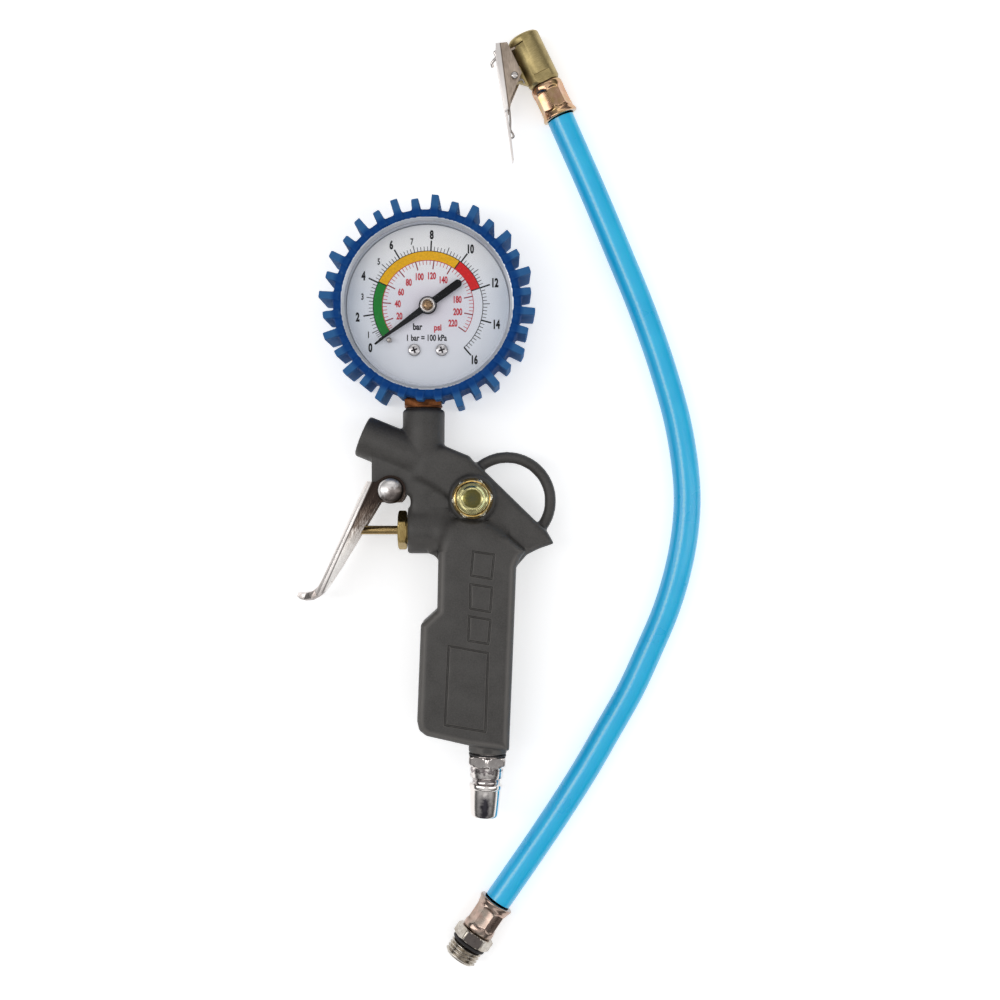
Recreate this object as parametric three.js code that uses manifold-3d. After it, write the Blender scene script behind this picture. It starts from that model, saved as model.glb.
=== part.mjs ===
// Portable tire inflator: a cast pistol-grip gun with a dial gauge in a toothed rubber boot,
// and a detached filler hose with a clip-on chuck at one end and a threaded connector at the other.
// Everything lies on its side on the plane z = 0. Units are millimetres.
// +X runs from the trigger to the hose, +Y from the air inlet to the gauge, +Z up off the table.
// The origin is under the middle of the gun.
import * as THREE from "three";
import { mergeVertices } from "three/addons/utils/BufferGeometryUtils.js";
import Module from "manifold-3d";

const wasm = await Module();
wasm.setup();

// ---------------------------------------------------------------- driving dimensions
const MID_Z = 13; // height of the gun's middle plane
const GRIP_THICK = 26;
const GAP = 0.3; // clearance between neighbouring pieces
const WELD = 1e-3; // vertices closer than this are one

const OUTLET_FACE = [-25.3, 26.9]; // centre of the slanted outlet's mouth
const OUTLET_SLOPE = -22.1; // degrees below +X
const TUBE_R = 8.1; // outlet and gauge neck, outside
const PORT_R = 5.9; // tapping bore of the G1/4 ports
const NECK_X = -1.6;
const NECK_TOP = 37;
const NECK_FOOT_Y = 10; // where the neck starts inside the block
const VALVE_Y = -9.35;
const VALVE_FACE_X = -7.7;
const VALVE_BOSS_R = 9.05;
const PLUG_AT = [17.3, 2.7];
const PLUG_TURN = -24; // degrees, turns the plug's hexagon on its pad
const NUT_TURN = -24; // degrees, turns the gland nut about the rod
const PAD_TOP = 23;
const LOOP_AT = [30.4, 1.9];
const LOOP_R = 16.7;
const LOOP_WIRE_R = 2.25;
const INLET_AT = [22.9, -95.2];
const INLET_LEAN = 3; // degrees from straight down

const PIVOT = [-13.9, 5.8];
const PIVOT_PIN_R = 2.0;
const EAR_HALF = 5.9;
const LEVER_HALF = 7.5;
const LEVER_SHEET = 1.2;
const LEVER_EDGE = 2.2; // chamfer along the lever's folded corners

const ROD_R = 1.7;
const ROD_TIP_X = -29.95;
const ROD_END_X = 12.0;

const GAUGE_AT = [0.4, 75.8];
const STEM_X = -1.7;
const STEM_SQUARE = 13.8;
const BOOT_R = 35.3;
const CASE_R = 33.2;
const DIAL_Z = 21;
const DIAL_R = 30.8;
const TEETH = 32;
const LONG_TOOTH_R = 40.6;
const SHORT_TOOTH_R = 39.2;
const STUB_TOOTH_R = 36.4;
const TOOTH_WIDTH = 3.6;
const TOOTH_PHASE = -4.5;

const GEAR_MODULE = 0.3;
const PINION_TEETH = 10;
const SECTOR_TEETH = 80; // of the whole circle
const POINTER_REST = 216; // degrees, where the needle stands at zero

const UPPER_THICK = 16.4; // block behind the neck
const UPPER_BEVEL = 2.4;
const GRIP_BEVEL = 3;
const PAD_R = 8.9; // round pad under the side plug
const CREASE_SLOPE = 43.7; // degrees, the shallow crease across the web
const PLUG_BORE_R = 4.8;
const INLET_BORE_R = 6;
const AIR_WAY_R = 3; // drilled up the grip
const MID_BORE_END_X = 12; // the valve bore narrows here
const BLIND_END_X = 29; // and ends here

const CENTRE_SHIFT = [0.1, 1.65, 0]; // puts the gun's middle over the origin

const HOSE_R = 5.25;
const CHUCK_AT = [36.3, 182.1]; // centre of the chuck's open face
const CHUCK_SLOPE = -64.2; // degrees, from the open face towards the hose
const END_Z = 7; // height of the axis of both hose ends
const CONNECTOR_AT = [26.5, -153.7]; // open end of the lower ferrule
const CONNECTOR_SLOPE = -124;

// Middle line of the hose from the chuck to the threaded end.
const HOSE_LINE = [
  [51.2, 150.4, 7.0],
  [53.3, 145.6, 6.9],
  [63.5, 122.8, 6.1],
  [73.4, 99.6, 5.4],
  [83.0, 76.2, 5.3],
  [91.2, 52.8, 5.3],
  [97.5, 29.4, 5.3],
  [100.5, 6.0, 5.3],
  [99.8, -9.4, 5.3],
  [97.0, -25.0, 5.3],
  [92.3, -40.6, 5.3],
  [85.7, -56.2, 5.3],
  [78.5, -71.8, 5.3],
  [69.7, -87.4, 5.3],
  [60.8, -102.8, 5.3],
  [50.9, -118.4, 5.4],
  [40.3, -134.0, 6.1],
  [29.6, -149.3, 6.9],
  [26.9, -153.2, 7.0],
];

// ---------------------------------------------------------------- solids
const radians = THREE.MathUtils.degToRad;
const vec = (x, y, z) => new THREE.Vector3(x, y, z);

function solid(geometry) {
  const bare = geometry.clone();
  bare.deleteAttribute("normal");
  bare.deleteAttribute("uv");
  const merged = mergeVertices(bare, WELD);
  const kept = [];
  const index = merged.index.array;
  for (let i = 0; i < index.length; i += 3) {
    const [a, b, c] = index.slice(i, i + 3);
    if (a !== b && b !== c && c !== a) kept.push(a, b, c);
  }
  const made = fromTriangles(merged.attributes.position.array, kept);
  if (made.volume() > 0) return made;
  const turned = kept.map((_, i) => kept[i - (i % 3) + [0, 2, 1][i % 3]]);
  return fromTriangles(merged.attributes.position.array, turned);
}

function fromTriangles(vertProperties, triangles) {
  const triVerts = new Uint32Array(triangles);
  return new wasm.Manifold(new wasm.Mesh({ numProp: 3, vertProperties, triVerts }));
}

function geometryOf(made) {
  const mesh = made.getMesh();
  const geometry = new THREE.BufferGeometry();
  geometry.setAttribute("position", new THREE.BufferAttribute(new Float32Array(mesh.vertProperties), 3));
  geometry.setIndex(new THREE.BufferAttribute(new Uint32Array(mesh.triVerts), 1));
  return geometry;
}

const join = (...parts) => parts.reduce((whole, part) => whole.add(part));
const cut = (whole, ...tools) => tools.reduce((rest, tool) => rest.subtract(tool), whole);

// Turns a shape made along +Y so that it starts at `from` and runs along `way`.
function aimed(geometry, from, way) {
  const turn = new THREE.Quaternion().setFromUnitVectors(vec(0, 1, 0), way.clone().normalize());
  return geometry.applyQuaternion(turn).translate(from.x, from.y, from.z);
}

function rod(from, to, radius, sides = 24, endRadius = radius) {
  const way = to.clone().sub(from);
  const length = way.length();
  const shape = new THREE.CylinderGeometry(endRadius, radius, length, sides).translate(0, length / 2, 0);
  return solid(aimed(shape, from, way));
}

// A turned solid. The profile holds [radius, height] pairs along the axis.
function turned(profile, from, way, sides = 32) {
  const points = profile.map(([r, h]) => new THREE.Vector2(r, h));
  return solid(aimed(new THREE.LatheGeometry(points, sides), from, way));
}

function shapeOf(outline) {
  return new THREE.Shape(outline.map(([x, y]) => new THREE.Vector2(x, y)));
}

function plate(outline, low, high, bevel = 0, bevelSegments = 3) {
  const options = {
    depth: high - low - 2 * bevel,
    bevelEnabled: bevel > 0,
    bevelSize: bevel,
    bevelThickness: bevel,
    bevelOffset: -bevel,
    bevelSegments,
  };
  return solid(new THREE.ExtrudeGeometry(shapeOf(outline), options).translate(0, 0, low + bevel));
}

function frameGroove(corners, width, low, high) {
  const middle = corners.reduce(([sx, sy], [x, y]) => [sx + x / 4, sy + y / 4], [0, 0]);
  const shrink = ([x, y]) => {
    const [dx, dy] = [x - middle[0], y - middle[1]];
    return [x - Math.sign(dx) * width, y - Math.sign(dy) * width];
  };
  return plate(corners, low, high).subtract(plate(corners.map(shrink), low - 1, high + 1));
}

function arc(centre, radius, start, end, steps) {
  const points = [];
  for (let i = 0; i <= steps; i++) {
    const angle = radians(start + ((end - start) * i) / steps);
    points.push([centre[0] + radius * Math.cos(angle), centre[1] + radius * Math.sin(angle)]);
  }
  return points;
}

function ringPart(centre, inner, outer, start, end, steps) {
  return [...arc(centre, outer, start, end, steps), ...arc(centre, inner, end, start, steps)];
}

function block(centre, size, turnZ = 0) {
  const shape = new THREE.BoxGeometry(...size);
  return solid(shape.rotateZ(radians(turnZ)).translate(...centre));
}

// A flat-sided bar along an axis. `flats` is the distance between opposite sides.
function hexBar(from, way, length, flats, turn = 0, chamfer = 0.6) {
  const corner = flats / Math.sqrt(3);
  const shape = new THREE.CylinderGeometry(corner, corner, length, 6).rotateY(radians(turn));
  const bar = solid(aimed(shape.translate(0, length / 2, 0), from, way));
  const round = [
    [0, 0],
    [corner - chamfer, 0],
    [corner + chamfer, 2 * chamfer / Math.sqrt(3)],
    [corner + chamfer, length - 2 * chamfer / Math.sqrt(3)],
    [corner - chamfer, length],
    [0, length],
  ];
  return bar.intersect(turned(round, from, way, 30));
}

function sweep(points, radius, sides, steps) {
  const path = new THREE.CatmullRomCurve3(points.map((p) => vec(...p)), false, "centripetal");
  const circle = shapeOf(arc([0, 0], radius, 0, 360 - 360 / sides, sides - 1));
  return solid(new THREE.ExtrudeGeometry(circle, { steps, bevelEnabled: false, extrudePath: path }));
}

// ---------------------------------------------------------------- the assembly
const inflator = new THREE.Group();
inflator.name = "portable_tire_inflator";

const finishes = {
  cast: { color: 0x484644, roughness: 0.62, metalness: 0.35 },
  boot: { color: 0x1e55a0, roughness: 0.55, metalness: 0 },
  hose: { color: 0x28b4eb, roughness: 0.35, metalness: 0 },
  chrome: { color: 0xd8d4d0, roughness: 0.18, metalness: 1 },
  steel: { color: 0xb0aca8, roughness: 0.35, metalness: 1 },
  gold: { color: 0xd8b850, roughness: 0.22, metalness: 1 },
  brass: { color: 0xa8925a, roughness: 0.35, metalness: 1 },
  copper: { color: 0x8a5a38, roughness: 0.45, metalness: 0.9 },
  ferrule: { color: 0xc09068, roughness: 0.28, metalness: 1 },
  dial: { color: 0xcdd0da, roughness: 0.6, metalness: 0 },
  black: { color: 0x141414, roughness: 0.5, metalness: 0.1 },
  rubber: { color: 0x1c1c1c, roughness: 0.8, metalness: 0 },
  clear: { color: 0xe8f0f4, roughness: 0.05, metalness: 0 },
};

function add(name, finish, made) {
  const geometry = geometryOf(made).translate(...CENTRE_SHIFT);
  const mesh = new THREE.Mesh(geometry, new THREE.MeshStandardMaterial(finishes[finish]));
  mesh.name = name;
  inflator.add(mesh);
}

// Profile of a flat ring that starts at height `start`.
function washer(inner, outer, thick, start = 0) {
  const top = start + thick;
  return [[inner, start], [outer, start], [outer, top], [inner, top], [inner, start]];
}

// ---------------------------------------------------------------- gun body
const outletWay = vec(Math.cos(radians(OUTLET_SLOPE)), Math.sin(radians(OUTLET_SLOPE)), 0);
const outletAt = (along) => vec(...OUTLET_FACE, MID_Z).addScaledVector(outletWay, along);
const inletWay = vec(-Math.sin(radians(INLET_LEAN)), -Math.cos(radians(INLET_LEAN)), 0);
const inletAt = (along) => vec(...INLET_AT, MID_Z).addScaledVector(inletWay, along);
const valveWay = vec(1, 0, 0);
const valveAt = (x) => vec(x, VALVE_Y, MID_Z);

const UPPER_OUTLINE = [
  [6.2, 23.1], [16.1, 19.0], [17.3, 17.4], [21.6, 13.5], [42.0, -6.4], [45.6, -9.6],
  [48.3, -14.4], [42.5, -16.4], [37.9, -18.7], [34.2, -23.0],
  [20, -24], [9, -8], [8, 3], [2, 7], [-5, 11], [-3, 20],
];
const WEB_OUTLINE = [
  [-21.3, 20], [-21.3, 8.6], ...arc(PIVOT, 5, 200, 325, 6), [-8.0, 4.6], [-6.9, 3.8],
  [-6.5, 2.6], [-6.5, -3], [10, -6], [16, 8], [0, 16],
];
const GRIP_OUTLINE = [
  [4.4, -14], [4.2, -28], [3.9, -39.3], [-2.3, -44.9], [-3.0, -64], [-3.7, -81.6], [-2.9, -85.0],
  [-0.3, -87.1], [15.0, -90.6], [31.2, -92.8], [31.4, -86.0], [32.5, -59.3],
  [33.4, -36], [33.9, -23.0], [35.4, -19.7], [37.5, -17.0], [27.7, -8.9], [22, -5.8], [8, -5.0],
];
const GRIP_FRAMES = [
  [[17.6, -17.2], [25.5, -18.4], [24.5, -27.6], [16.8, -26.2]],
  [[16.5, -29.5], [24.7, -30.8], [24.0, -40.0], [16.5, -38.7]],
  [[16.1, -41.6], [24.1, -43.0], [23.3, -52.0], [15.8, -50.8]],
  [[8.4, -52.8], [23.2, -55.5], [22.2, -85.1], [7.0, -82.6]],
];
const FRAME_WIDTH = 0.8;
const FRAME_DEPTH = 0.5;

function bodyOutside() {
  const half = (thickness) => [MID_Z - thickness / 2, MID_Z + thickness / 2];
  const loop = new THREE.TorusGeometry(LOOP_R, LOOP_WIRE_R, 8, 48).translate(...LOOP_AT, MID_Z);
  const neckLength = NECK_TOP - NECK_FOOT_Y;
  const neck = [
    [0, 0], [TUBE_R - 0.3, 0], [TUBE_R, 20], [TUBE_R, neckLength - 0.8],
    [TUBE_R - 0.8, neckLength], [0, neckLength],
  ];
  const outlet = [
    [0, 0], [TUBE_R - 0.6, 0], [TUBE_R, 0.6], [TUBE_R, 40], [TUBE_R - 4, 47], [0, 48],
  ];
  const boss = [
    [0, 0], [VALVE_BOSS_R - 0.6, 0], [VALVE_BOSS_R, 0.6], [VALVE_BOSS_R, 22], [0, 26],
  ];
  const padHeight = PAD_TOP - MID_Z;
  const pad = [[0, 0], [PAD_R, 0], [PAD_R, padHeight - 0.6], [PAD_R - 0.6, padHeight], [0, padHeight]];
  return join(
    plate(UPPER_OUTLINE, ...half(UPPER_THICK), UPPER_BEVEL),
    plate(WEB_OUTLINE, ...half(2 * EAR_HALF)),
    plate(GRIP_OUTLINE, ...half(GRIP_THICK), GRIP_BEVEL),
    turned(outlet, outletAt(0), outletWay, 28),
    turned(neck, vec(NECK_X, NECK_FOOT_Y, MID_Z), vec(0, 1, 0), 28),
    turned(boss, valveAt(VALVE_FACE_X), valveWay, 28),
    plate(frontCorner(), ...half(12)),
    rod(inletAt(-10), inletAt(-0.2), 7.4, 28),
    turned(pad, vec(...PLUG_AT, MID_Z), vec(0, 0, 1), 36),
    solid(loop),
  );
}

// The concave corner where the valve boss runs into the front of the grip.
function frontCorner() {
  return [[0.6, -17.6], ...arc([0.6, -22.2], 3.8, 90, 0, 5), [8, -23], [8, -14], [0.6, -14]];
}

// Shallow crease across the recessed web, on both sides.
function webCreases() {
  return [-1, 1].map((side) => block([-1, 2.1, MID_Z + side * EAR_HALF], [11, 1, 1.2], CREASE_SLOPE));
}

// The tapped ports, the valve's stepped bore, and the drillings that join them.
function bodyPassages() {
  const upTo = (x, y, top) => [vec(x, y, MID_Z), vec(x, top, MID_Z)];
  return [
    rod(outletAt(-1), outletAt(14), PORT_R, 24),
    rod(outletAt(13), outletAt(31), 2.5, 12),
    rod(...upTo(NECK_X, 24.5, NECK_TOP + 1), PORT_R, 24),
    rod(...upTo(1.5, VALVE_Y, 26), 2.25, 12),
    rod(valveAt(VALVE_FACE_X - 1), valveAt(0.3), 5.5, 20),
    rod(valveAt(0), valveAt(MID_BORE_END_X), 5.2, 20),
    rod(valveAt(MID_BORE_END_X - 0.5), valveAt(BLIND_END_X), 4.4, 20),
    rod(inletAt(-11), inletAt(1), INLET_BORE_R, 24),
    rod(inletAt(-10), inletAt(-85.5), AIR_WAY_R, 12),
    rod(vec(...PLUG_AT, 7), vec(...PLUG_AT, PAD_TOP + 1), PLUG_BORE_R, 24),
    rod(vec(...PLUG_AT, MID_Z), vec(PLUG_AT[0], VALVE_Y, MID_Z), 1.5, 8),
    rod(vec(...PIVOT, 0), vec(...PIVOT, GRIP_THICK), PIVOT_PIN_R + GAP, 20),
  ];
}

const faceGrooves = GRIP_FRAMES.map((corners) =>
  frameGroove(corners, FRAME_WIDTH, GRIP_THICK - FRAME_DEPTH, GRIP_THICK + 1));
add("gun_body", "cast", cut(bodyOutside(), ...bodyPassages(), ...webCreases(), ...faceGrooves));

// ---------------------------------------------------------------- side plug and inlet
const plugAxis = vec(0, 0, 1);
add("plug_washer", "gold", turned(washer(4.9, 8.1, 0.9), vec(...PLUG_AT, PAD_TOP + GAP), plugAxis, 36));
const plugHead = PAD_TOP + 1.5;
const PLUG_FLATS = 13.6;
const PLUG_HEAD_HEIGHT = 4.6;
const PLUG_SHANK_R = 4.45;
const PLUG_FOOT_Z = 15;
const plugDome = [
  [0, 0], [6.3, 0], [6.3, 0.7], [5.9, 1.5], [5.0, 2.1], [4.3, 2.9], [3.4, 3.4], [0, 3.5],
];
add("hex_plug", "gold", join(
  hexBar(vec(...PLUG_AT, plugHead), plugAxis, PLUG_HEAD_HEIGHT, PLUG_FLATS, PLUG_TURN, 0.5),
  turned(plugDome, vec(...PLUG_AT, plugHead + 4.2), plugAxis, 32),
  rod(vec(...PLUG_AT, PLUG_FOOT_Z), vec(...PLUG_AT, plugHead + 1), PLUG_SHANK_R, 24),
));

const INLET_PROFILE = [
  [2.5, -10], [5.4, -10], [5.7, -9.4], [5.7, 1.0], [6.35, 1.0], [6.35, 9.0], [5.9, 9.3],
  [5.3, 9.6], [5.3, 11.2], [6.0, 11.6], [6.35, 12.0], [6.35, 13.2], [5.95, 13.8],
  [5.9, 15.5], [5.35, 23.6], [4.9, 24.3], [2.5, 24.3], [2.5, -10],
];
add("inlet_plug", "chrome", join(
  turned(INLET_PROFILE, inletAt(0), inletWay, 24),
  cut(hexBar(inletAt(1.0), inletWay, 4.0, 14), rod(inletAt(0), inletAt(6), 5.5, 24)),
));
add("inlet_seal", "rubber", turned(washer(6.0, 7.2, 0.5, 0.15), inletAt(0), inletWay, 28));

// ---------------------------------------------------------------- trigger valve
const onValve = (profile, x, sides = 20) => turned(profile, valveAt(x), valveWay, sides);
const NUT_X = -11.4;
const NUT_THICK = 3.4;
const NUT_FLATS = 13.3;
add("gland_nut", "brass", cut(
  join(
    hexBar(valveAt(NUT_X), valveWay, NUT_THICK, NUT_FLATS, NUT_TURN, 0.5),
    rod(valveAt(-9), valveAt(-1.6), 5.2, 28),
  ),
  rod(valveAt(-13), valveAt(0), ROD_R + GAP, 16),
));
add("gland_seal", "rubber", onValve(washer(2.0, 4.9, 1.0), -1.3));
add("valve_seat", "brass", onValve(
  [[2.8, 0], [4.9, 0], [4.9, 3], [3.6, 3], [3.4, 3.4], [3.0, 3.4], [2.8, 3], [2.8, 0]], 8.3,
));
const rodLength = ROD_END_X - ROD_TIP_X;
const rodProfile = [[0, 0], [0.9, 0.25], [1.4, 0.8], [ROD_R, 1.7], [ROD_R, rodLength], [0, rodLength]];
add("push_rod", "brass", onValve(rodProfile, ROD_TIP_X, 16));
add("poppet_seal", "rubber", onValve(washer(2.0, 3.9, 1.2), 12.1));
add("valve_poppet", "brass", onValve(
  [[0, 0], [3.9, 0], [3.9, 2.4], [2.0, 3.0], [2.0, 6.0], [0, 6.0]], 13.6,
));

function coil(from, way, radius, wire, turns, length, sides, steps) {
  const across = vec(0, 0, 1);
  const up = new THREE.Vector3().crossVectors(across, way);
  const points = [];
  for (let i = 0; i <= steps; i++) {
    const angle = (2 * Math.PI * turns * i) / steps;
    const at = from.clone().addScaledVector(way, (length * i) / steps);
    at.addScaledVector(across, radius * Math.cos(angle)).addScaledVector(up, radius * Math.sin(angle));
    points.push(at.toArray());
  }
  return sweep(points, wire, sides, steps);
}

add("valve_spring", "steel", coil(valveAt(17.4), valveWay, 3.1, 0.45, 4.5, 10.9, 5, 45));

// ---------------------------------------------------------------- trigger lever
const LEVER_TOP = [-23.2, 9.5];
const LEVER_LOW = [-39.95, -27.6];
const LEVER_CURL = [[-41.5, -30.6], [-43.7, -32.6], [-46.3, -33.3], [-49.3, -33.5]];
const LEVER_UNDER = [[-49.6, -34.8], [-46.6, -35.6], [-43.2, -35.2], [-40.6, -33.7]];
const CHEEK_EDGE = [[-38.6, -31.9], [-33.2, -23.6], [-18.2, 1.3]];

const CHEEK_END_R = 5.8; // round the pivot
const leverWay = vec(LEVER_LOW[0] - LEVER_TOP[0], LEVER_LOW[1] - LEVER_TOP[1], 0).normalize();

// The straight back of the lever, moved inwards by `depth`.
function leverBack(depth) {
  return [LEVER_TOP, LEVER_LOW].map(([x, y]) => [x - leverWay.y * depth, y + leverWay.x * depth]);
}

// Takes the corners off both long edges of the back.
function edgeCuts([top], half, edge) {
  const offset = edge * (Math.SQRT2 - 1);
  const out = vec(leverWay.y, -leverWay.x, 0).multiplyScalar(offset);
  return [-1, 1].map((side) => {
    const shape = new THREE.BoxGeometry(200, 2 * edge, 2 * edge).rotateX(radians(45));
    shape.rotateZ(Math.atan2(leverWay.y, leverWay.x));
    return solid(shape.translate(top[0] + out.x, top[1] + out.y, MID_Z + side * (half + offset)));
  });
}

function triggerLever() {
  const back = leverBack(0);
  const outline = [
    ...back, ...LEVER_CURL, ...LEVER_UNDER, ...CHEEK_EDGE,
    ...arc(PIVOT, CHEEK_END_R, -52, 128, 12), [-19.6, 9.0],
  ];
  const blank = plate(outline, MID_Z - LEVER_HALF, MID_Z + LEVER_HALF);
  const [top, low] = leverBack(LEVER_SHEET);
  const inside = [[top[0], top[1] + 4], low, [-34, -34], [-20, -12], [-4, 6], [-4, top[1] + 4]];
  const innerHalf = LEVER_HALF - LEVER_SHEET;
  const hollow = cut(
    plate(inside, MID_Z - innerHalf, MID_Z + innerHalf),
    ...edgeCuts([top], innerHalf, LEVER_EDGE - 0.7),
  );
  const tipSides = [-1, 1].map((side) => block([-50.4, -34.4, MID_Z + side * 9.2], [6, 12, 9]));
  const pinBore = rod(vec(...PIVOT, 0), vec(...PIVOT, GRIP_THICK), PIVOT_PIN_R + GAP, 20);
  return cut(blank, ...edgeCuts(back, LEVER_HALF, LEVER_EDGE), hollow, ...tipSides, pinBore);
}
add("trigger_lever", "chrome", triggerLever());

const PIN_HEAD_Z = MID_Z + LEVER_HALF + GAP;
const PIN_FOOT_Z = 4.2;
const pinDome = [[4.5, 0], [4.5, 0.5], [4.2, 1.6], [3.3, 2.6], [1.8, 3.2], [0, 3.4]];
const pinProfile = [
  [0, PIN_FOOT_Z], [PIVOT_PIN_R, PIN_FOOT_Z], [PIVOT_PIN_R, PIN_HEAD_Z],
  ...pinDome.map(([r, h]) => [r, h + PIN_HEAD_Z]),
];
add("trigger_pin", "chrome", turned(pinProfile, vec(...PIVOT, 0), plugAxis, 32));
add("pin_clip", "steel", turned(
  washer(PIVOT_PIN_R + 0.2, 3.6, 0.6), vec(...PIVOT, PIN_FOOT_Z + 0.2), plugAxis, 20,
));

// ---------------------------------------------------------------- gauge: boot, case, window
const gaugeBase = (z) => vec(...GAUGE_AT, z);
const onGauge = (profile, sides = 52) => turned(profile, gaugeBase(0), plugAxis, sides);
const polar = (centre, radius, degrees) => [
  centre[0] + radius * Math.cos(radians(degrees)),
  centre[1] + radius * Math.sin(radians(degrees)),
];

const BOOT_PROFILE = [
  [21, 0], [34.5, 0], [BOOT_R, 0.8], [BOOT_R, 30.8], [34.6, 31.6], [32.3, 31.6], [32, 31.3],
  [32, 30.8], [33.5, 30.8], [33.5, 1.8], [21, 1.8], [21, 0],
];

function toothReach(i, angle) {
  if (angle > 250 && angle < 285) return STUB_TOOTH_R;
  return i % 2 ? SHORT_TOOTH_R : LONG_TOOTH_R;
}

const BOOT_HEIGHT = 31.6;
function bootTeeth() {
  const inner = 34.0; // the teeth start inside the ring
  return Array.from({ length: TEETH }, (_, i) => {
    const angle = TOOTH_PHASE + (360 / TEETH) * i;
    const reach = toothReach(i, angle);
    const middle = polar(GAUGE_AT, (inner + reach) / 2, angle);
    const bar = block([0, 0, 0], [reach - inner, TOOTH_WIDTH, BOOT_HEIGHT]);
    return bar.rotate([0, 0, angle]).translate([...middle, BOOT_HEIGHT / 2]);
  });
}

const stemHole = (half, low, high) =>
  block([STEM_X, (low + high) / 2, MID_Z], [2 * half, high - low, 2 * half]);
add("gauge_boot", "boot", cut(join(onGauge(BOOT_PROFILE), ...bootTeeth()), stemHole(7.25, 36, 50)));

const CASE_PROFILE = [
  [0, 2.1], [32.4, 2.1], [CASE_R, 2.9], [CASE_R, 28.5], [32.2, 28.5], [32.2, 26.6], [31.2, 26.6],
  [31.2, 3.3], [0, 3.3],
];
add("gauge_case", "steel", cut(
  onGauge(CASE_PROFILE), rod(vec(STEM_X, 40, MID_Z), vec(STEM_X, 50, MID_Z), 5.7, 24),
));
add("gauge_window", "clear", onGauge([[0, 26.9], [31.9, 26.9], [31.9, 28.5], [0, 28.5]]));
add("gauge_bezel", "chrome", onGauge(
  [[31.0, 28.8], [CASE_R, 28.8], [CASE_R, 30.4], [31.6, 30.4], [31.0, 29.6], [31.0, 28.8]],
));

// ---------------------------------------------------------------- gauge: stem and socket
const stemWay = vec(0, 1, 0);
const stemAt = (y) => vec(STEM_X, y, MID_Z);
const TUBE_ARC_R = 24; // middle line of the bourdon tube
const TUBE_HALF = 1.2;
const TUBE_START = 258;
const TUBE_END = -20;

function gaugeStem() {
  const whole = join(
    rod(stemAt(25.2), stemAt(38), 5.55, 28),
    turned([[0, 0], [6.9, 0], [7.3, 0.4], [7.3, 1.1], [0, 1.1]], stemAt(37.4), stemWay, 28), // flange
    block([STEM_X, 40.2, MID_Z], [STEM_SQUARE, 3.8, STEM_SQUARE]), // spanner square
    rod(stemAt(41), stemAt(47), 5.35, 24),
    block([STEM_X, 54.2, 12.75], [14, 16.2, 13.5]), // socket inside the case
    block([STEM_X, 66, 7.35], [12, 11, 2.7]), // foot under the movement
  );
  const slotHalf = TUBE_HALF + 0.4;
  const slotOutline = ringPart(GAUGE_AT, TUBE_ARC_R - slotHalf, TUBE_ARC_R + slotHalf, 236, 260, 8);
  const screwBores = [-1, 1].map((side) => rod(screwAt(side, 11), screwAt(side, 21), 1.6, 12));
  return cut(whole, rod(stemAt(24), stemAt(52.5), 1.8, 12), plate(slotOutline, 8.6, 17.4), ...screwBores);
}

const screwAt = (side, z) => vec(GAUGE_AT[0] + side * 5.2, GAUGE_AT[1] - 16.8, z);
add("gauge_stem", "copper", gaugeStem());
add("stem_washer", "rubber", cut(
  rod(vec(STEM_X, NECK_TOP + 0.05, MID_Z), vec(STEM_X, NECK_TOP + 0.3, MID_Z), 6.9, 28),
  rod(stemAt(36), stemAt(38), 5.75, 28),
));

add("bourdon_tube", "brass", plate(
  ringPart(GAUGE_AT, TUBE_ARC_R - TUBE_HALF, TUBE_ARC_R + TUBE_HALF, TUBE_END, TUBE_START, 44), 9, 17,
));
const tipPin = polar(GAUGE_AT, 19.1, TUBE_END - 3.4);
add("tube_tip", "brass", join(
  plate(ringPart(GAUGE_AT, 22, 26, TUBE_END - 6, TUBE_END - 0.8, 3), 8.6, 17.4),
  plate(ringPart(GAUGE_AT, 18.2, 23, TUBE_END - 5.5, TUBE_END - 1.2, 2), 14.6, 15.8),
  rod(vec(...tipPin, 14.45), vec(...tipPin, 15), 0.7, 10),
));

// ---------------------------------------------------------------- gauge: movement
const SECTOR_AT = polar(GAUGE_AT, (GEAR_MODULE * (PINION_TEETH + SECTOR_TEETH)) / 2, -45);
const MESH_LINE = 135; // degrees, from the sector's pivot to the pinion
const onMovement = (x, y) => [x + GAUGE_AT[0], y + GAUGE_AT[1]];
const plateOutline = [
  [-13, -12.5], [13, -12.5], [14.2, -7.5], [14.2, -1.5], [7, 7], [-7, 7], [-14.2, -1.5], [-14.2, -7.5],
].map((corner) => onMovement(...corner));
const PILLARS = [onMovement(-10.6, -9.4), onMovement(11.6, -2.2)];
const hole = ([x, y], radius) => rod(vec(x, y, 0), vec(x, y, 30), radius, 16);

const bearings = [hole(GAUGE_AT, 1.0), hole(SECTOR_AT, 1.3), ...PILLARS.map((p) => hole(p, 1.1))];
add("movement_plate_lower", "brass", cut(plate(plateOutline, 9.0, 10.0), ...bearings));
add("movement_plate_upper", "brass", cut(plate(plateOutline, 16.4, 17.2), ...bearings));
const pillarProfile = [
  [0, 9.2], [0.8, 9.2], [0.8, 10.3], [1.6, 10.3], [1.6, 16.1], [0.8, 16.1], [0.8, 17.0], [0, 17.0],
];
PILLARS.forEach((foot, i) => {
  const name = "movement_pillar_" + ["left", "right"][i];
  add(name, "steel", turned(pillarProfile, vec(...foot, 0), plugAxis, 12));
});

// Tooth outline of a gear around `centre`, from one tooth number to another.
function teeth(centre, count, pitchRadius, phase, first, last) {
  const step = 360 / count;
  const corners = [[-0.24, -0.39], [-0.1, 0.24], [0.1, 0.24], [0.24, -0.39]];
  const points = [];
  for (let i = first; i <= last; i++) {
    corners.forEach(([across, out]) => {
      const radius = pitchRadius + out;
      points.push(polar(centre, radius, phase + step * i + THREE.MathUtils.radToDeg(across / radius)));
    });
  }
  return points;
}

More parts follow.
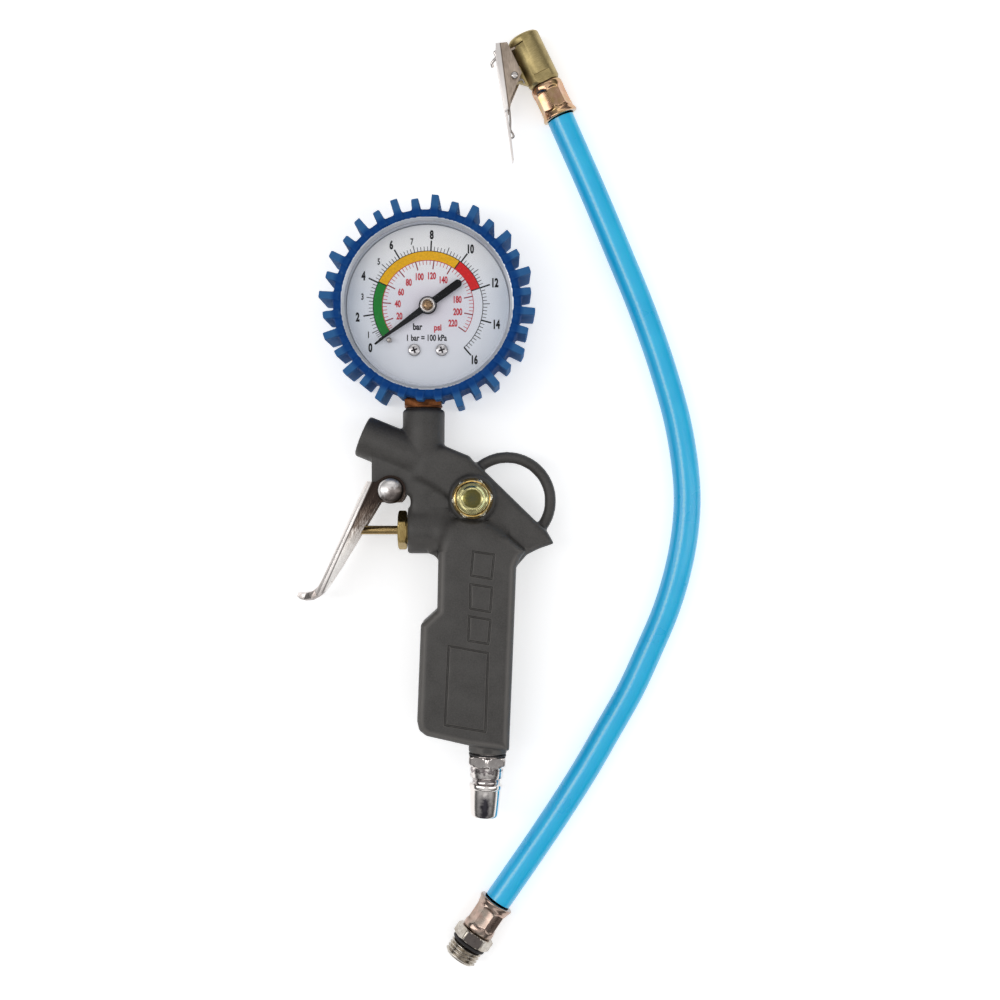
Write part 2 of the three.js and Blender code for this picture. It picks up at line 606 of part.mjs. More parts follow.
const sectorPitch = (GEAR_MODULE * SECTOR_TEETH) / 2;
const pinionPitch = (GEAR_MODULE * PINION_TEETH) / 2;
const sectorFan = [
  ...teeth(SECTOR_AT, SECTOR_TEETH, sectorPitch, MESH_LINE, -9, 2),
  polar(SECTOR_AT, 2.2, MESH_LINE + 60), polar(SECTOR_AT, 2.2, MESH_LINE + 120),
  polar(SECTOR_AT, 2.2, -100), polar(SECTOR_AT, 6.0, -39), polar(SECTOR_AT, 6.6, -25),
  polar(SECTOR_AT, 6.0, -11), polar(SECTOR_AT, 2.2, 50),
];
add("sector_gear", "brass", join(
  plate(sectorFan, 12.2, 13.2),
  rod(vec(...SECTOR_AT, 9.2), vec(...SECTOR_AT, 17.0), 1.0, 14),
));
const pinionPhase = MESH_LINE + 180 / PINION_TEETH;
add("pinion_spindle", "steel", join(
  plate(teeth(GAUGE_AT, PINION_TEETH, pinionPitch, pinionPhase, 0, PINION_TEETH - 1), 11.7, 13.7),
  rod(gaugeBase(9.2), gaugeBase(24.8), 0.7, 14),
));
// The link's eye lies just under the pin on the tube's tip, so it can swing with the sector.
const linkEnd = polar(SECTOR_AT, 5.2, -25);
add("tip_link", "steel", cut(
  plate([...arc(linkEnd, 1.1, 160, 320, 6), ...arc(tipPin, 1.9, -10, 170, 8)], 13.5, 14.2),
  hole(tipPin, 1.1),
));

function hairspring() {
  const turns = 3;
  const steps = 36;
  const edge = (offset) => Array.from({ length: steps + 1 }, (_, i) =>
    polar(GAUGE_AT, 1.7 + (3 * i) / steps + offset, (360 * turns * i) / steps));
  const strip = plate([...edge(0.3), ...edge(0).reverse()], 14.6, 15.3);
  return join(strip, block([...polar(GAUGE_AT, 4.9, 0), 15.3], [0.8, 0.8, 1.5]));
}
add("hairspring", "steel", hairspring());

// ---------------------------------------------------------------- gauge: dial and pointer
const dialHoles = [hole(GAUGE_AT, 1.3), hole(screwAt(-1, 0).toArray(), 1.7), hole(screwAt(1, 0).toArray(), 1.7)];
const stopAt = polar(GAUGE_AT, 19.7, 222);
const dialDisc = onGauge([[0, DIAL_Z], [DIAL_R, DIAL_Z], [DIAL_R, DIAL_Z + 0.8], [0, DIAL_Z + 0.8]]);
add("dial_plate", "dial", cut(dialDisc, ...dialHoles, hole(stopAt, 0.9)));

function dialScrew(side) {
  const head = DIAL_Z + 1.1;
  const profile = [
    [0, 12], [1.25, 12], [1.25, head], [2.25, head], [2.25, head + 0.5], [1.7, head + 0.9], [0, head + 1.0],
  ];
  const slotAt = screwAt(side, head + 0.9).toArray();
  const slots = [20, 110].map((turn) => block(slotAt, [2.4, 0.5, 0.8], turn));
  return cut(turned(profile, screwAt(side, 0), plugAxis, 20), ...slots);
}
add("dial_screw_left", "chrome", dialScrew(-1));
add("dial_screw_right", "chrome", dialScrew(1));
add("pointer_stop", "steel", turned(
  [[0, 20.2], [0.6, 20.2], [0.6, 22.1], [0.95, 22.1], [0.95, 24.9], [0.6, 25.2], [0, 25.2]],
  vec(...stopAt, 0), plugAxis, 14,
));
const POINTER_Z = 23.6;
const along = (u, v) => {
  const angle = radians(POINTER_REST);
  return [
    GAUGE_AT[0] + u * Math.cos(angle) - v * Math.sin(angle),
    GAUGE_AT[1] + u * Math.sin(angle) + v * Math.cos(angle),
  ];
};
const needle = [
  [25, 0.15], [24, 0.45], [8, 1.3], [0, 1.45], [-12, 1.45], [-14.4, 1.3], [-15.3, 0.8], [-15.6, 0],
  [-15.3, -0.8], [-14.4, -1.3], [-12, -1.45], [0, -1.45], [8, -1.3], [24, -0.45], [25, -0.15],
].map(([u, v]) => along(u, v));
add("pointer", "black", cut(
  join(
    plate(needle, POINTER_Z, POINTER_Z + 0.6),
    turned([[0, 0], [3.4, 0], [3.4, 1.0], [2.9, 1.5], [0, 1.5]], gaugeBase(POINTER_Z - 0.2), plugAxis, 28),
  ),
  rod(gaugeBase(20), gaugeBase(26), 1.0, 14),
));
add("pointer_cap", "brass", turned(
  [[0, 0], [2.3, 0], [2.3, 0.5], [1.7, 0.9], [0, 1.1]], gaugeBase(25.2), plugAxis, 24,
));

// ---------------------------------------------------------------- filler hose
const endWay = (slope) => vec(Math.cos(radians(slope)), Math.sin(radians(slope)), 0);
const chuckWay = endWay(CHUCK_SLOPE);
const chuckLeft = vec(chuckWay.y, -chuckWay.x, 0);
const chuckAt = (u, v = 0, z = END_Z) =>
  vec(...CHUCK_AT, z).addScaledVector(chuckWay, u).addScaledVector(chuckLeft, v);
const connectorWay = endWay(CONNECTOR_SLOPE);
const connectorAt = (s) => vec(...CONNECTOR_AT, END_Z).addScaledVector(connectorWay, s);

add("hose", "hose", sweep(HOSE_LINE, HOSE_R, 10, 56));

// Brass crimped ferrule: round flared lip and collar, with the middle pressed to flats.
function ferrule(at, way, length) {
  const shell = turned([
    [5.6, 0], [6.6, 0], [6.95, 0.5], [6.7, 1.6], [6.3, 2.4], [6.3, length - 1.6], [6.0, length],
    [3.4, length], [3.4, length - 1.2], [5.6, length - 1.2], [5.6, 0],
  ], at, way, 24);
  const flats = 8;
  const across = new THREE.Vector3().crossVectors(way, plugAxis);
  const presses = Array.from({ length: flats }, (_, i) => {
    const shape = new THREE.BoxGeometry(4.6, length - 5.4, 2).translate(0, length / 2 + 0.7, 7.02);
    shape.rotateY((2 * Math.PI * (i + 0.5)) / flats);
    shape.applyMatrix4(new THREE.Matrix4().makeBasis(across, way, plugAxis));
    return solid(shape.translate(at.x, at.y, at.z));
  });
  return cut(shell, ...presses);
}
const CHUCK_LENGTH = 20.4;
const FERRULE_LENGTH = 13.7;
const chuckFerruleStart = chuckAt(CHUCK_LENGTH + 0.5 + FERRULE_LENGTH);
add("chuck_ferrule", "ferrule", ferrule(chuckFerruleStart, chuckWay.clone().negate(), FERRULE_LENGTH));
add("thread_ferrule", "ferrule", ferrule(connectorAt(0), connectorWay, FERRULE_LENGTH));

const THREAD_CRESTS = 4;
const THREAD_PITCH = 1.4;
function connector() {
  const start = FERRULE_LENGTH + 0.3;
  const profile = [[2.4, start - 8], [3.1, start - 8], [3.1, start + 3.8], [5.3, start + 3.8], [5.3, start + 6.4]];
  for (let i = 0; i < THREAD_CRESTS; i++) {
    const at = start + 6.4 + THREAD_PITCH * i;
    profile.push([5.85, at + 0.1], [6.55, at + 0.55], [6.55, at + 0.75], [5.85, at + 1.2]);
  }
  const tip = start + 6.4 + THREAD_PITCH * THREAD_CRESTS;
  profile.push([5.5, tip + 0.3], [2.4, tip + 0.3], [2.4, start - 8]);
  const hex = hexBar(connectorAt(start), connectorWay, 4.4, 14, 30, 0.6);
  const bore = rod(connectorAt(start - 1), connectorAt(start + 6), 3, 20);
  return join(turned(profile, connectorAt(0), connectorWay, 24), cut(hex, bore));
}
add("hose_connector", "chrome", connector());
const RING_AT = FERRULE_LENGTH + 5.05;
add("connector_o_ring", "rubber", turned([
  [5.6, 0.3], [6.0, 0], [6.5, 0], [6.85, 0.4], [6.85, 0.9], [6.5, 1.3], [6.0, 1.3], [5.6, 1.0], [5.6, 0.3],
], connectorAt(RING_AT), connectorWay, 22));

// ---------------------------------------------------------------- clip-on chuck
const CHUCK_R = 6.3;
const LUG_R = 2.3;
const CHUCK_PIN = [13.4, 9.8]; // along the chuck from its open face, and out to the left
const chuckPlate = (outline, low, high) => plate(
  outline.map(([u, v]) => chuckAt(u, v).toArray().slice(0, 2)), END_Z + low, END_Z + high,
);
const chuckRound = (profile, sides = 28) => turned(profile, chuckAt(0), chuckWay, sides);
const pinHole = (radius) => rod(chuckAt(...CHUCK_PIN, 0), chuckAt(...CHUCK_PIN, 2 * END_Z), radius, 14);
const lugEnd = Array.from({ length: 7 }, (_, i) => {
  const angle = radians(-80 + 30 * i);
  return [CHUCK_PIN[0] + LUG_R * Math.sin(angle), CHUCK_PIN[1] + LUG_R * Math.cos(angle)];
});

add("chuck_body", "brass", cut(
  join(
    chuckRound([
      [0, 0], [5.6, 0], [CHUCK_R, 0.7], [CHUCK_R, 19.2], [5.9, CHUCK_LENGTH], [0, CHUCK_LENGTH],
    ]),
    chuckPlate([[9.6, 4.5], ...lugEnd, [19.2, 4.5]], -1.7, 1.7),
  ),
  rod(chuckAt(-1), chuckAt(9.5), 4.4, 24),
  rod(chuckAt(9), chuckAt(15), 3.4, 20),
  rod(chuckAt(14), chuckAt(CHUCK_LENGTH + 1), 1.8, 14),
  chuckPlate([[2.3, 1.4], [4.4, 1.4], [4.4, 9], [2.3, 9]], -9, 9),
  pinHole(1.4),
));
add("chuck_seal", "rubber", chuckRound(washer(1.8, 3.1, 2.4, 9.8), 20));
const depressorProfile = [
  [0, 10.2], [0.7, 9.9], [0.9, 10.4], [0.9, 12.6], [3.1, 12.6], [3.1, 13.6], [0, 13.6],
];
const airHoles = [0, 120, 240].map((turn) => {
  const [across, up] = [2.1 * Math.cos(radians(turn)), END_Z + 2.1 * Math.sin(radians(turn))];
  return rod(chuckAt(12, across, up), chuckAt(14, across, up), 0.6, 8);
});
add("chuck_depressor", "brass", cut(chuckRound(depressorProfile, 16), ...airHoles));

const CLIP_OUTER = [[-0.9, 11.0], [3.7, 13.2], [19.3, 17.6], [30.0, 20.8], [42.4, 24.9]];
const CLIP_INNER = [[42.1, 23.9], [30.0, 19.7], [24.0, 17.2], [20.6, 14.8], [13.6, 6.8], [0.6, 6.8]];
const CLIP_HALF = 5.2;
const CLIP_SHEET = 0.9;
const TAIL_HALF = 2.6;
function chuckLever() {
  const besideTail = [[24, 14], [30, 17], [44, 20], [44, 30], [24, 30]];
  const blank = chuckPlate([...CLIP_OUTER, ...CLIP_INNER], -CLIP_HALF, CLIP_HALF);
  const shrink = ([u, v]) => [u, v - CLIP_SHEET];
  const channel = chuckPlate(
    [...CLIP_OUTER.slice(0, 4).map(shrink), [26, 10], [14, 5], [-4, 5], [-4, 9]],
    CLIP_SHEET - CLIP_HALF, CLIP_HALF - CLIP_SHEET,
  );
  const narrowed = [chuckPlate(besideTail, -9, -TAIL_HALF), chuckPlate(besideTail, TAIL_HALF, 9)];
  const claw = chuckPlate([[3.2, 4.6], [4.0, 4.6], [4.0, 12.9], [3.2, 12.5]], -4.0, 4.0);
  const walls = chuckPlate([[3.2, 10.5], [4.0, 10.5], [4.0, 12.9], [3.2, 12.5]], -4.6, 4.6);
  return cut(join(cut(blank, channel, ...narrowed), claw, walls), pinHole(1.4));
}
add("chuck_lever", "steel", chuckLever());
add("chuck_lever_pin", "steel", turned(
  [[0, -6.4], [1.7, -6.0], [1.7, -5.5], [1.1, -5.5], [1.1, 5.5], [1.7, 5.5], [1.7, 6.0], [0, 6.4]],
  chuckAt(...CHUCK_PIN), plugAxis, 16,
));

function chuckSpring() {
  const wire = 0.4;
  const points = [chuckAt(17.2, 7.3, END_Z + 2.3), chuckAt(15.4, 7.6, END_Z + 2.3)];
  const steps = 16;
  for (let i = 0; i <= steps; i++) {
    const angle = radians(-30 + (420 * i) / steps);
    const [u, v] = [CHUCK_PIN[0] + 2.05 * Math.cos(angle), CHUCK_PIN[1] + 2.05 * Math.sin(angle)];
    points.push(chuckAt(u, v, END_Z + 2.3 + (1.2 * i) / steps));
  }
  points.push(chuckAt(17.5, 13.6, END_Z + 3.5), chuckAt(22, 15.6, END_Z + 3.3));
  return sweep(points.map((p) => p.toArray()), wire, 5, 44);
}
add("chuck_spring", "steel", chuckSpring());

export default inflator;
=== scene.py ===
"""Looks of the portable tire inflator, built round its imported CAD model.

Everything is in metres in the model's frame: +X from the trigger to the hose, +Y from the air
inlet to the gauge, +Z up off the floor. Sizes in the tables below are the part's own design
millimetres, and at() turns them into that frame.
"""

import math

import bmesh
import bpy
import numpy as np
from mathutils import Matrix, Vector, geometry


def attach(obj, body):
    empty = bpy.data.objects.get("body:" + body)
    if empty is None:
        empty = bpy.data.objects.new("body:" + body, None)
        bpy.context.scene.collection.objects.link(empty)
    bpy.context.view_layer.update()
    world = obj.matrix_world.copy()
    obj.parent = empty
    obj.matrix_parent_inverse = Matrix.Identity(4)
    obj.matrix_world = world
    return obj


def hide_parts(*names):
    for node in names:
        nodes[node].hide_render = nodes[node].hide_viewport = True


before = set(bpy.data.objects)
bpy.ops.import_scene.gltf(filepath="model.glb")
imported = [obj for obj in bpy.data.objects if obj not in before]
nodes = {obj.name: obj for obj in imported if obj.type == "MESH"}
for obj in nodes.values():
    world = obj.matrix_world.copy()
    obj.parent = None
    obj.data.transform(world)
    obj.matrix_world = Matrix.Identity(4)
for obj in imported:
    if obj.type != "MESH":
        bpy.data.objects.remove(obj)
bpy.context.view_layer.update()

MM = 0.001
CENTRE_SHIFT = (0.1, 1.65)
MID_Z = 13.0
UP = Vector((0, 0, 1))

VALVE_Y = -9.35
PLUG_AT = (17.3, 2.7)
PLUG_TURN = 36.0
NUT_TURN = 6.0
PAD_TOP = 23.0
INLET_AT = (22.9, -95.2)
INLET_LEAN = 3.0
PIVOT = (-13.9, 5.8)
LEVER_TOP = (-23.2, 9.5)
LEVER_LOW = (-39.95, -27.6)
GAUGE_AT = (0.4, 75.8)
DIAL_TOP = 21.8
POINTER_REST = 216.0
CHUCK_AT = (36.3, 182.1)
CHUCK_SLOPE = -64.2
CONNECTOR_AT = (26.5, -153.7)
CONNECTOR_SLOPE = -124.0
END_Z = 7.0
HOSE_R = 5.25
CLIP_CORNER = (26.1, 177.8)  # outer top corner of the chuck's lever
CLIP_TURN = -82.4  # and the way its outer edge runs from there
FERRULE_LENGTH = 13.7
CHUCK_LENGTH = 20.4


# ---------------------------------------------------------------- points and small maths
def at(x, y, z):
    """A point in design millimetres, as metres in the row frame."""
    return Vector(((x + CENTRE_SHIFT[0]) * MM, (y + CENTRE_SHIFT[1]) * MM, z * MM))


def heading(degrees):
    """The level unit vector at this angle from +X."""
    angle = math.radians(degrees)
    return Vector((math.cos(angle), math.sin(angle), 0))


def smoothstep(low, high, value):
    share = min(1.0, max(0.0, (value - low) / (high - low)))
    return share * share * (3 - 2 * share)


def srgb(*levels):
    """Linear colour of 8-bit sRGB levels."""
    parts = [level / 255 for level in levels]
    return tuple(p / 12.92 if p <= 0.04045 else ((p + 0.055) / 1.055) ** 2.4 for p in parts)


def add_object(name, data):
    made = bpy.data.objects.new(name, data)
    bpy.context.scene.collection.objects.link(made)
    return made


# ---------------------------------------------------------------- camera
EYE = Vector((0.0278, 0.00385, 0.633))
VIEW_WIDTH = 0.3846  # width of the picture at the gun's middle plane
VIEW_DISTANCE = 0.620
camera_data = bpy.data.cameras.new("camera")
camera_data.sensor_width = 36
camera_data.lens = camera_data.sensor_width * VIEW_DISTANCE / VIEW_WIDTH
camera = add_object("camera", camera_data)
camera.location = EYE
bpy.context.scene.camera = camera
bpy.context.scene.view_settings.view_transform = "Standard"


# ---------------------------------------------------------------- materials
class Recipe:
    """One material and short ways to add nodes to it."""

    def __init__(self, name, metallic=0.0, roughness=0.5, **sockets):
        self.material = bpy.data.materials.new(name)
        self.material.use_nodes = True
        self.tree = self.material.node_tree
        self.shader = self.tree.nodes["Principled BSDF"]
        self.set(self.shader, Metallic=metallic, Roughness=roughness)
        for socket, value in sockets.items():
            self.shader.inputs[socket.replace("_", " ")].default_value = value
        self.place = self.node("ShaderNodeTexCoord").outputs["Object"]

    def node(self, kind, **settings):
        made = self.tree.nodes.new(kind)
        for key, value in settings.items():
            setattr(made, key, value)
        return made

    def set(self, node, **inputs):
        for key, value in inputs.items():
            socket = node.inputs[key.replace("_", " ")]
            if isinstance(value, bpy.types.NodeSocket):
                self.tree.links.new(value, socket)
            else:
                socket.default_value = value
        return node

    def mapped(self, scale=(1, 1, 1), turn=0.0, shift=(0, 0, 0)):
        """Coordinates from `shift`, turned by `turn` degrees about Z and then stretched."""
        turned = self.node("ShaderNodeMapping", vector_type="TEXTURE")
        self.set(turned, Vector=self.place, Location=shift, Rotation=(0, 0, math.radians(turn)))
        stretched = self.node("ShaderNodeMapping")
        self.set(stretched, Vector=turned.outputs[0], Scale=scale)
        return stretched.outputs[0]

    def noise(self, features, detail=3.0, roughness=0.55, vector=None):
        """Noise whose features are about this many millimetres across."""
        made = self.node("ShaderNodeTexNoise")
        self.set(made, Vector=vector or self.place, Scale=1 / (features * MM))
        self.set(made, Detail=detail, Roughness=roughness)
        return made.outputs[0]

    def span(self, value, low, high, to_low=0.0, to_high=1.0):
        made = self.node("ShaderNodeMapRange")
        for index, number in enumerate((value, low, high, to_low, to_high)):
            if isinstance(number, bpy.types.NodeSocket):
                self.tree.links.new(number, made.inputs[index])
            else:
                made.inputs[index].default_value = number
        return made.outputs[0]

    def maths(self, operation, *values):
        made = self.node("ShaderNodeMath", operation=operation)
        for index, value in enumerate(values):
            if isinstance(value, bpy.types.NodeSocket):
                self.tree.links.new(value, made.inputs[index])
            else:
                made.inputs[index].default_value = value
        return made.outputs[0]

    def plus(self, first, second):
        return self.maths("ADD", first, second)

    def times(self, first, second):
        return self.maths("MULTIPLY", first, second)

    def away(self, value, middle):
        """How far a value lies from the middle, either way."""
        return self.maths("ABSOLUTE", self.maths("SUBTRACT", value, middle))

    def in_mm(self, metres):
        return self.maths("DIVIDE", metres, MM)

    def spread(self, noise, *ends):
        """Stretches the middle of a noise over the whole range between the ends."""
        return self.span(noise, 0.3, 0.7, *ends)

    def split(self, vector):
        return self.set(self.node("ShaderNodeSeparateXYZ"), Vector=vector).outputs

    def split_from(self, origin, turn):
        """Coordinates along and across a level line at `turn` degrees through a design point."""
        return self.split(self.mapped((1, 1, 1), turn, at(*origin, MID_Z)))

    def tilt(self):
        """How far each face looks up, from 1 for straight up to -1."""
        return self.split(self.node("ShaderNodeTexCoord").outputs["Normal"])[2]

    def pointiness(self):
        return self.node("ShaderNodeNewGeometry").outputs["Pointiness"]

    def ramp(self, value, *stops):
        """Colour along `value`, from (position, colour) stops."""
        made = self.node("ShaderNodeValToRGB")
        elements = made.color_ramp.elements
        while len(elements) < len(stops):
            elements.new(0.5)
        for element, (position, colour) in zip(elements, stops):
            element.position = position
            element.color = (*colour, 1)
        self.set(made, Fac=value)
        return made.outputs[0]

    def blend(self, share, low, high, mode="MIX"):
        made = self.node("ShaderNodeMix", data_type="RGBA", blend_type=mode)
        for index, value in ((0, share), (6, low), (7, high)):
            if isinstance(value, bpy.types.NodeSocket):
                self.tree.links.new(value, made.inputs[index])
            else:
                made.inputs[index].default_value = value if index == 0 else (*value, 1)
        return made.outputs[2]

    def bump(self, *layers):
        """Adds bumps on top of each other, from (height, distance in mm, strength) layers."""
        normal = None
        for height, distance, strength in layers:
            made = self.node("ShaderNodeBump")
            self.set(made, Height=height, Distance=distance * MM, Strength=strength)
            if normal:
                self.set(made, Normal=normal)
            normal = made.outputs[0]
        self.set(self.shader, Normal=normal)

    def paint(self, colour, roughness=None):
        self.set(self.shader, Base_Color=colour)
        if roughness is not None:
            self.set(self.shader, Roughness=roughness)
        return self.material


def radius_from(recipe, centre):
    """Level distance in millimetres from a vertical axis."""
    moved = recipe.node("ShaderNodeVectorMath", operation="SUBTRACT")
    recipe.tree.links.new(recipe.place, moved.inputs[0])
    moved.inputs[1].default_value = (*at(*centre, 0)[:2], 0)
    x, y, _ = recipe.split(moved.outputs[0])
    squares = recipe.plus(recipe.times(x, x), recipe.times(y, y))
    return recipe.in_mm(recipe.maths("SQRT", squares))


def cast_coat():
    r = Recipe("cast_coat", metallic=0.25, roughness=0.5)
    blotch = r.noise(9, 4)
    grain = r.noise(0.55, 3, 0.6)
    pits = r.noise(1.6, 2)
    _, along, _ = r.split(r.place)
    rise = r.tilt()
    # Painted highlight: on the grip, faces tilted like its rolled edges are painted lighter.
    rolled = r.times(r.span(rise, 0.99, 0.94), r.span(rise, 0.45, 0.85))
    edges = r.times(rolled, r.span(r.in_mm(along), -10, -18))
    colour = r.ramp(blotch, (0.3, srgb(60, 58, 56)), (0.7, srgb(74, 72, 70)))
    speckled = r.blend(r.span(grain, 0.35, 0.75, 0, 0.45), colour, srgb(98, 95, 92))
    edge_wear_and_painted_light = r.blend(r.times(edges, 0.42), speckled, srgb(132, 128, 124))
    # Painted shade: concave creases, found by pointiness, are painted near black.
    painted_crease_shade = r.span(r.pointiness(), 0.493, 0.462)
    edge_wear_and_painted_light = r.blend(r.times(painted_crease_shade, 0.7), edge_wear_and_painted_light, srgb(34, 33, 32))
    r.bump((pits, 0.12, 0.35), (grain, 0.06, 0.5))
    return r.paint(edge_wear_and_painted_light, r.span(grain, 0.3, 0.8, 0.44, 0.62))


def boot_rubber():
    r = Recipe("boot_rubber", roughness=0.7, Specular_IOR_Level=0.06)
    mottle = r.noise(4, 4)
    grain = r.noise(0.35, 2)
    out = r.span(radius_from(r, GAUGE_AT), 34.8, 36.6)
    colour = r.blend(out, srgb(12, 64, 132), srgb(54, 104, 158))
    dusty = r.blend(r.span(mottle, 0.35, 0.75, 0, 0.22), colour, srgb(54, 108, 164))
    edges = r.span(r.pointiness(), 0.51, 0.58)
    edge_wear_and_painted_light = r.blend(r.times(edges, 0.18), dusty, srgb(104, 150, 192))
    r.bump((mottle, 0.25, 0.25), (grain, 0.05, 0.4))
    return r.paint(edge_wear_and_painted_light, r.spread(mottle, 0.6, 0.76))


PAINTED_HIGHLIGHT_V = 0.25 - 0.055  # where the painted highlight line runs round the hose, in turns over the top from its left
THREADS_ALONG = 26  # braid threads in a length of hose equal to its girth
THREADS_ROUND = 22


def hose_skin():
    """Glossy translucent blue over a fine braid. UV runs along the hose and round it."""
    r = Recipe("hose_skin", roughness=0.26, Coat_Weight=0.35, Coat_Roughness=0.12,
               Subsurface_Weight=0.12, Subsurface_Scale=0.002)
    u, v, _ = r.split(r.node("ShaderNodeTexCoord").outputs["UV"])
    strands = []
    for way in (1, -1):
        phase = r.plus(r.times(u, THREADS_ALONG), r.times(v, way * THREADS_ROUND))
        strands.append(r.away(r.maths("FRACT", phase), 0.5))
    braid = r.span(r.maths("MINIMUM", *strands), 0.0, 0.5)
    mottle = r.noise(14, 3)
    base = r.ramp(mottle, (0.3, srgb(24, 192, 246)), (0.7, srgb(38, 204, 254)))
    # Painted shade: the hose's left side is painted darker, from partway over its top round to partway under
    # it.
    leftness = r.away(v, 0.5)
    base = r.blend(r.span(leftness, 0.29, 0.38, 0.0, 0.55), base, srgb(18, 164, 222))
    woven = r.blend(r.span(braid, 0.0, 0.35, 0.02, 0.0), base, srgb(90, 208, 250))
    # Painted highlight: a pale broken line along the hose, where a lamp's glint falls.
    dash = r.noise(1.3, 1)
    off = r.away(v, PAINTED_HIGHLIGHT_V)
    line = r.span(r.plus(off, r.times(dash, 0.02)), 0.014, 0.03, 1.0, 0.0)
    with_painted_highlight = r.blend(r.times(line, 0.5), woven, srgb(168, 236, 255))
    r.bump((braid, 0.01, 0.05), (mottle, 0.3, 0.15))
    return r.paint(with_painted_highlight, r.spread(mottle, 0.26, 0.32))


def metal(name, low, high, rough=(0.16, 0.3), stretch=(1, 1, 1), turn=0.0, streak_mm=0.6, depth=0.02,
          stain=None, stain_share=0.5, **sockets):
    """Bare or plated metal: two tones in fine streaks, uneven polish, and an optional stain."""
    r = Recipe(name, metallic=1.0, roughness=rough[0], **sockets)
    lines = r.noise(streak_mm, 3, 0.6, r.mapped(stretch, turn))
    cloud = r.noise(5, 4)
    tone = r.blend(r.spread(lines), low, high)
    if stain:
        tone = r.blend(r.span(cloud, 0.45, 0.7, 0, stain_share), tone, stain)
    r.bump((lines, depth, 0.6))
    mixed = r.plus(r.times(lines, 0.6), r.times(cloud, 0.4))
    return r.paint(tone, r.spread(mixed, *rough))


def lever_chrome():
    """Nickel plate brushed across, with a painted reflection from dark brown near the pivot to bright
    towards the tip.
    """
    r = Recipe("lever_chrome", metallic=1.0, roughness=0.28, Anisotropic=0.4)
    across = math.degrees(math.atan2(LEVER_LOW[1] - LEVER_TOP[1], LEVER_LOW[0] - LEVER_TOP[0]))
    down, side, _ = r.split_from(LEVER_TOP, across)
    off = r.in_mm(side)
    streaks = r.noise(0.42, 4, 0.7, r.mapped((2.2, 0.16, 1), across - 78))
    fine = r.noise(0.2, 2, 0.6, r.mapped((3, 0.12, 1), across - 78))
    # Painted reflection: the lever's face runs from dark brown near the pivot to bright towards the tip,
    # with brushing streaks in it.
    reach = r.in_mm(r.plus(down, r.times(side, 0.9)))
    level = r.plus(r.span(reach, 6, 40), r.span(streaks, 0.25, 0.75, -0.26, 0.26))
    painted_cheek_reflection = r.ramp(level, (0.16, srgb(54, 45, 41)), (0.4, srgb(112, 98, 88)), (0.56, srgb(212, 204, 197)),
                   (0.85, srgb(244, 240, 236)))
    # Painted highlight on the bent edge strip, with a painted shade line along the bend beside it.
    painted_bend_shade = r.span(r.away(off, 2.35), 0.15, 0.4, 0.8, 0.0)
    tone = r.blend(r.span(off, 1.9, 2.3), srgb(240, 234, 230), r.blend(painted_bend_shade, painted_cheek_reflection, srgb(70, 60, 56)))
    low = r.span(r.in_mm(down), 40.5, 45.0, 0.0, 0.4)
    tone = r.blend(low, tone, srgb(150, 140, 136))
    r.bump((streaks, 0.02, 0.5), (fine, 0.01, 0.4))
    return r.paint(tone, r.spread(streaks, 0.2, 0.36))


def nickel_hex():
    """Nickel plate whose upward flat carries a painted dark reflection."""
    r = Recipe("nickel_hex", metallic=1.0, roughness=0.2)
    lines = r.noise(0.9, 3, 0.6)
    cloud = r.noise(5, 4)
    tone = r.blend(r.spread(lines), srgb(158, 150, 142), srgb(214, 208, 198))
    tone = r.blend(r.span(cloud, 0.45, 0.7, 0, 0.4), tone, srgb(150, 134, 104))
    rise = r.tilt()
    # Painted reflection: flats facing straight up are painted dark.
    flat = r.times(r.span(rise, 0.985, 0.998), r.spread(lines, 0.75, 0.95))
    r.bump((lines, 0.02, 0.6))
    return r.paint(r.blend(flat, tone, srgb(72, 64, 64)), r.spread(lines, 0.14, 0.3))


def clip_steel():
    """Dull sheet with a painted highlight strip along its outer edge and a painted dark shade line beside
    it.
    """
    r = Recipe("clip_steel", metallic=1.0, roughness=0.32)
    _, side, _ = r.split_from(CLIP_CORNER, CLIP_TURN)
    off = r.in_mm(side)
    streaks = r.noise(0.7, 3, 0.6, r.mapped((0.3, 3, 1), CLIP_TURN))
    cloud = r.noise(4, 3)
    tone = r.blend(r.spread(streaks), srgb(166, 150, 134), srgb(200, 184, 168))
    tone = r.blend(r.span(cloud, 0.45, 0.7, 0, 0.4), tone, srgb(136, 120, 108))
    # Painted shade: a dark line along the bend.
    painted_bend_shade = r.span(r.away(off, 1.75), 0.1, 0.32, 0.75, 0.0)
    tone = r.blend(painted_bend_shade, tone, srgb(92, 80, 74))
    r.bump((streaks, 0.02, 0.6))
    # Painted highlight: the outer edge strip is painted bright.
    tone = r.blend(r.span(off, 1.35, 1.6), srgb(236, 230, 226), tone)
    return r.paint(tone, r.spread(streaks, 0.28, 0.42))


def pin_chrome():
    """Plated dome with a painted highlight on its upper left, painted brownish shade low down, and a painted
    shadow round its foot.
    """
    r = Recipe("pin_chrome", metallic=1.0, roughness=0.34)
    level, _, _ = r.split_from(PIVOT, 125)
    cloud = r.noise(1.4, 3)
    # Painted highlight on the upper left, painted shade lower down.
    shade = r.plus(r.span(r.in_mm(level), -4.2, 4.2), r.spread(cloud, -0.12, 0.12))
    tone = r.ramp(shade, (0.12, srgb(96, 88, 84)), (0.42, srgb(150, 142, 138)), (0.62, srgb(244, 240, 238)))
    # Painted shadow: a dark ring round the foot, where the dome meets the lever.
    foot = r.span(radius_from(r, PIVOT), 4.35, 4.8)
    r.bump((cloud, 0.02, 0.3))
    return r.paint(r.blend(foot, tone, srgb(52, 44, 40)), r.spread(cloud, 0.32, 0.4))


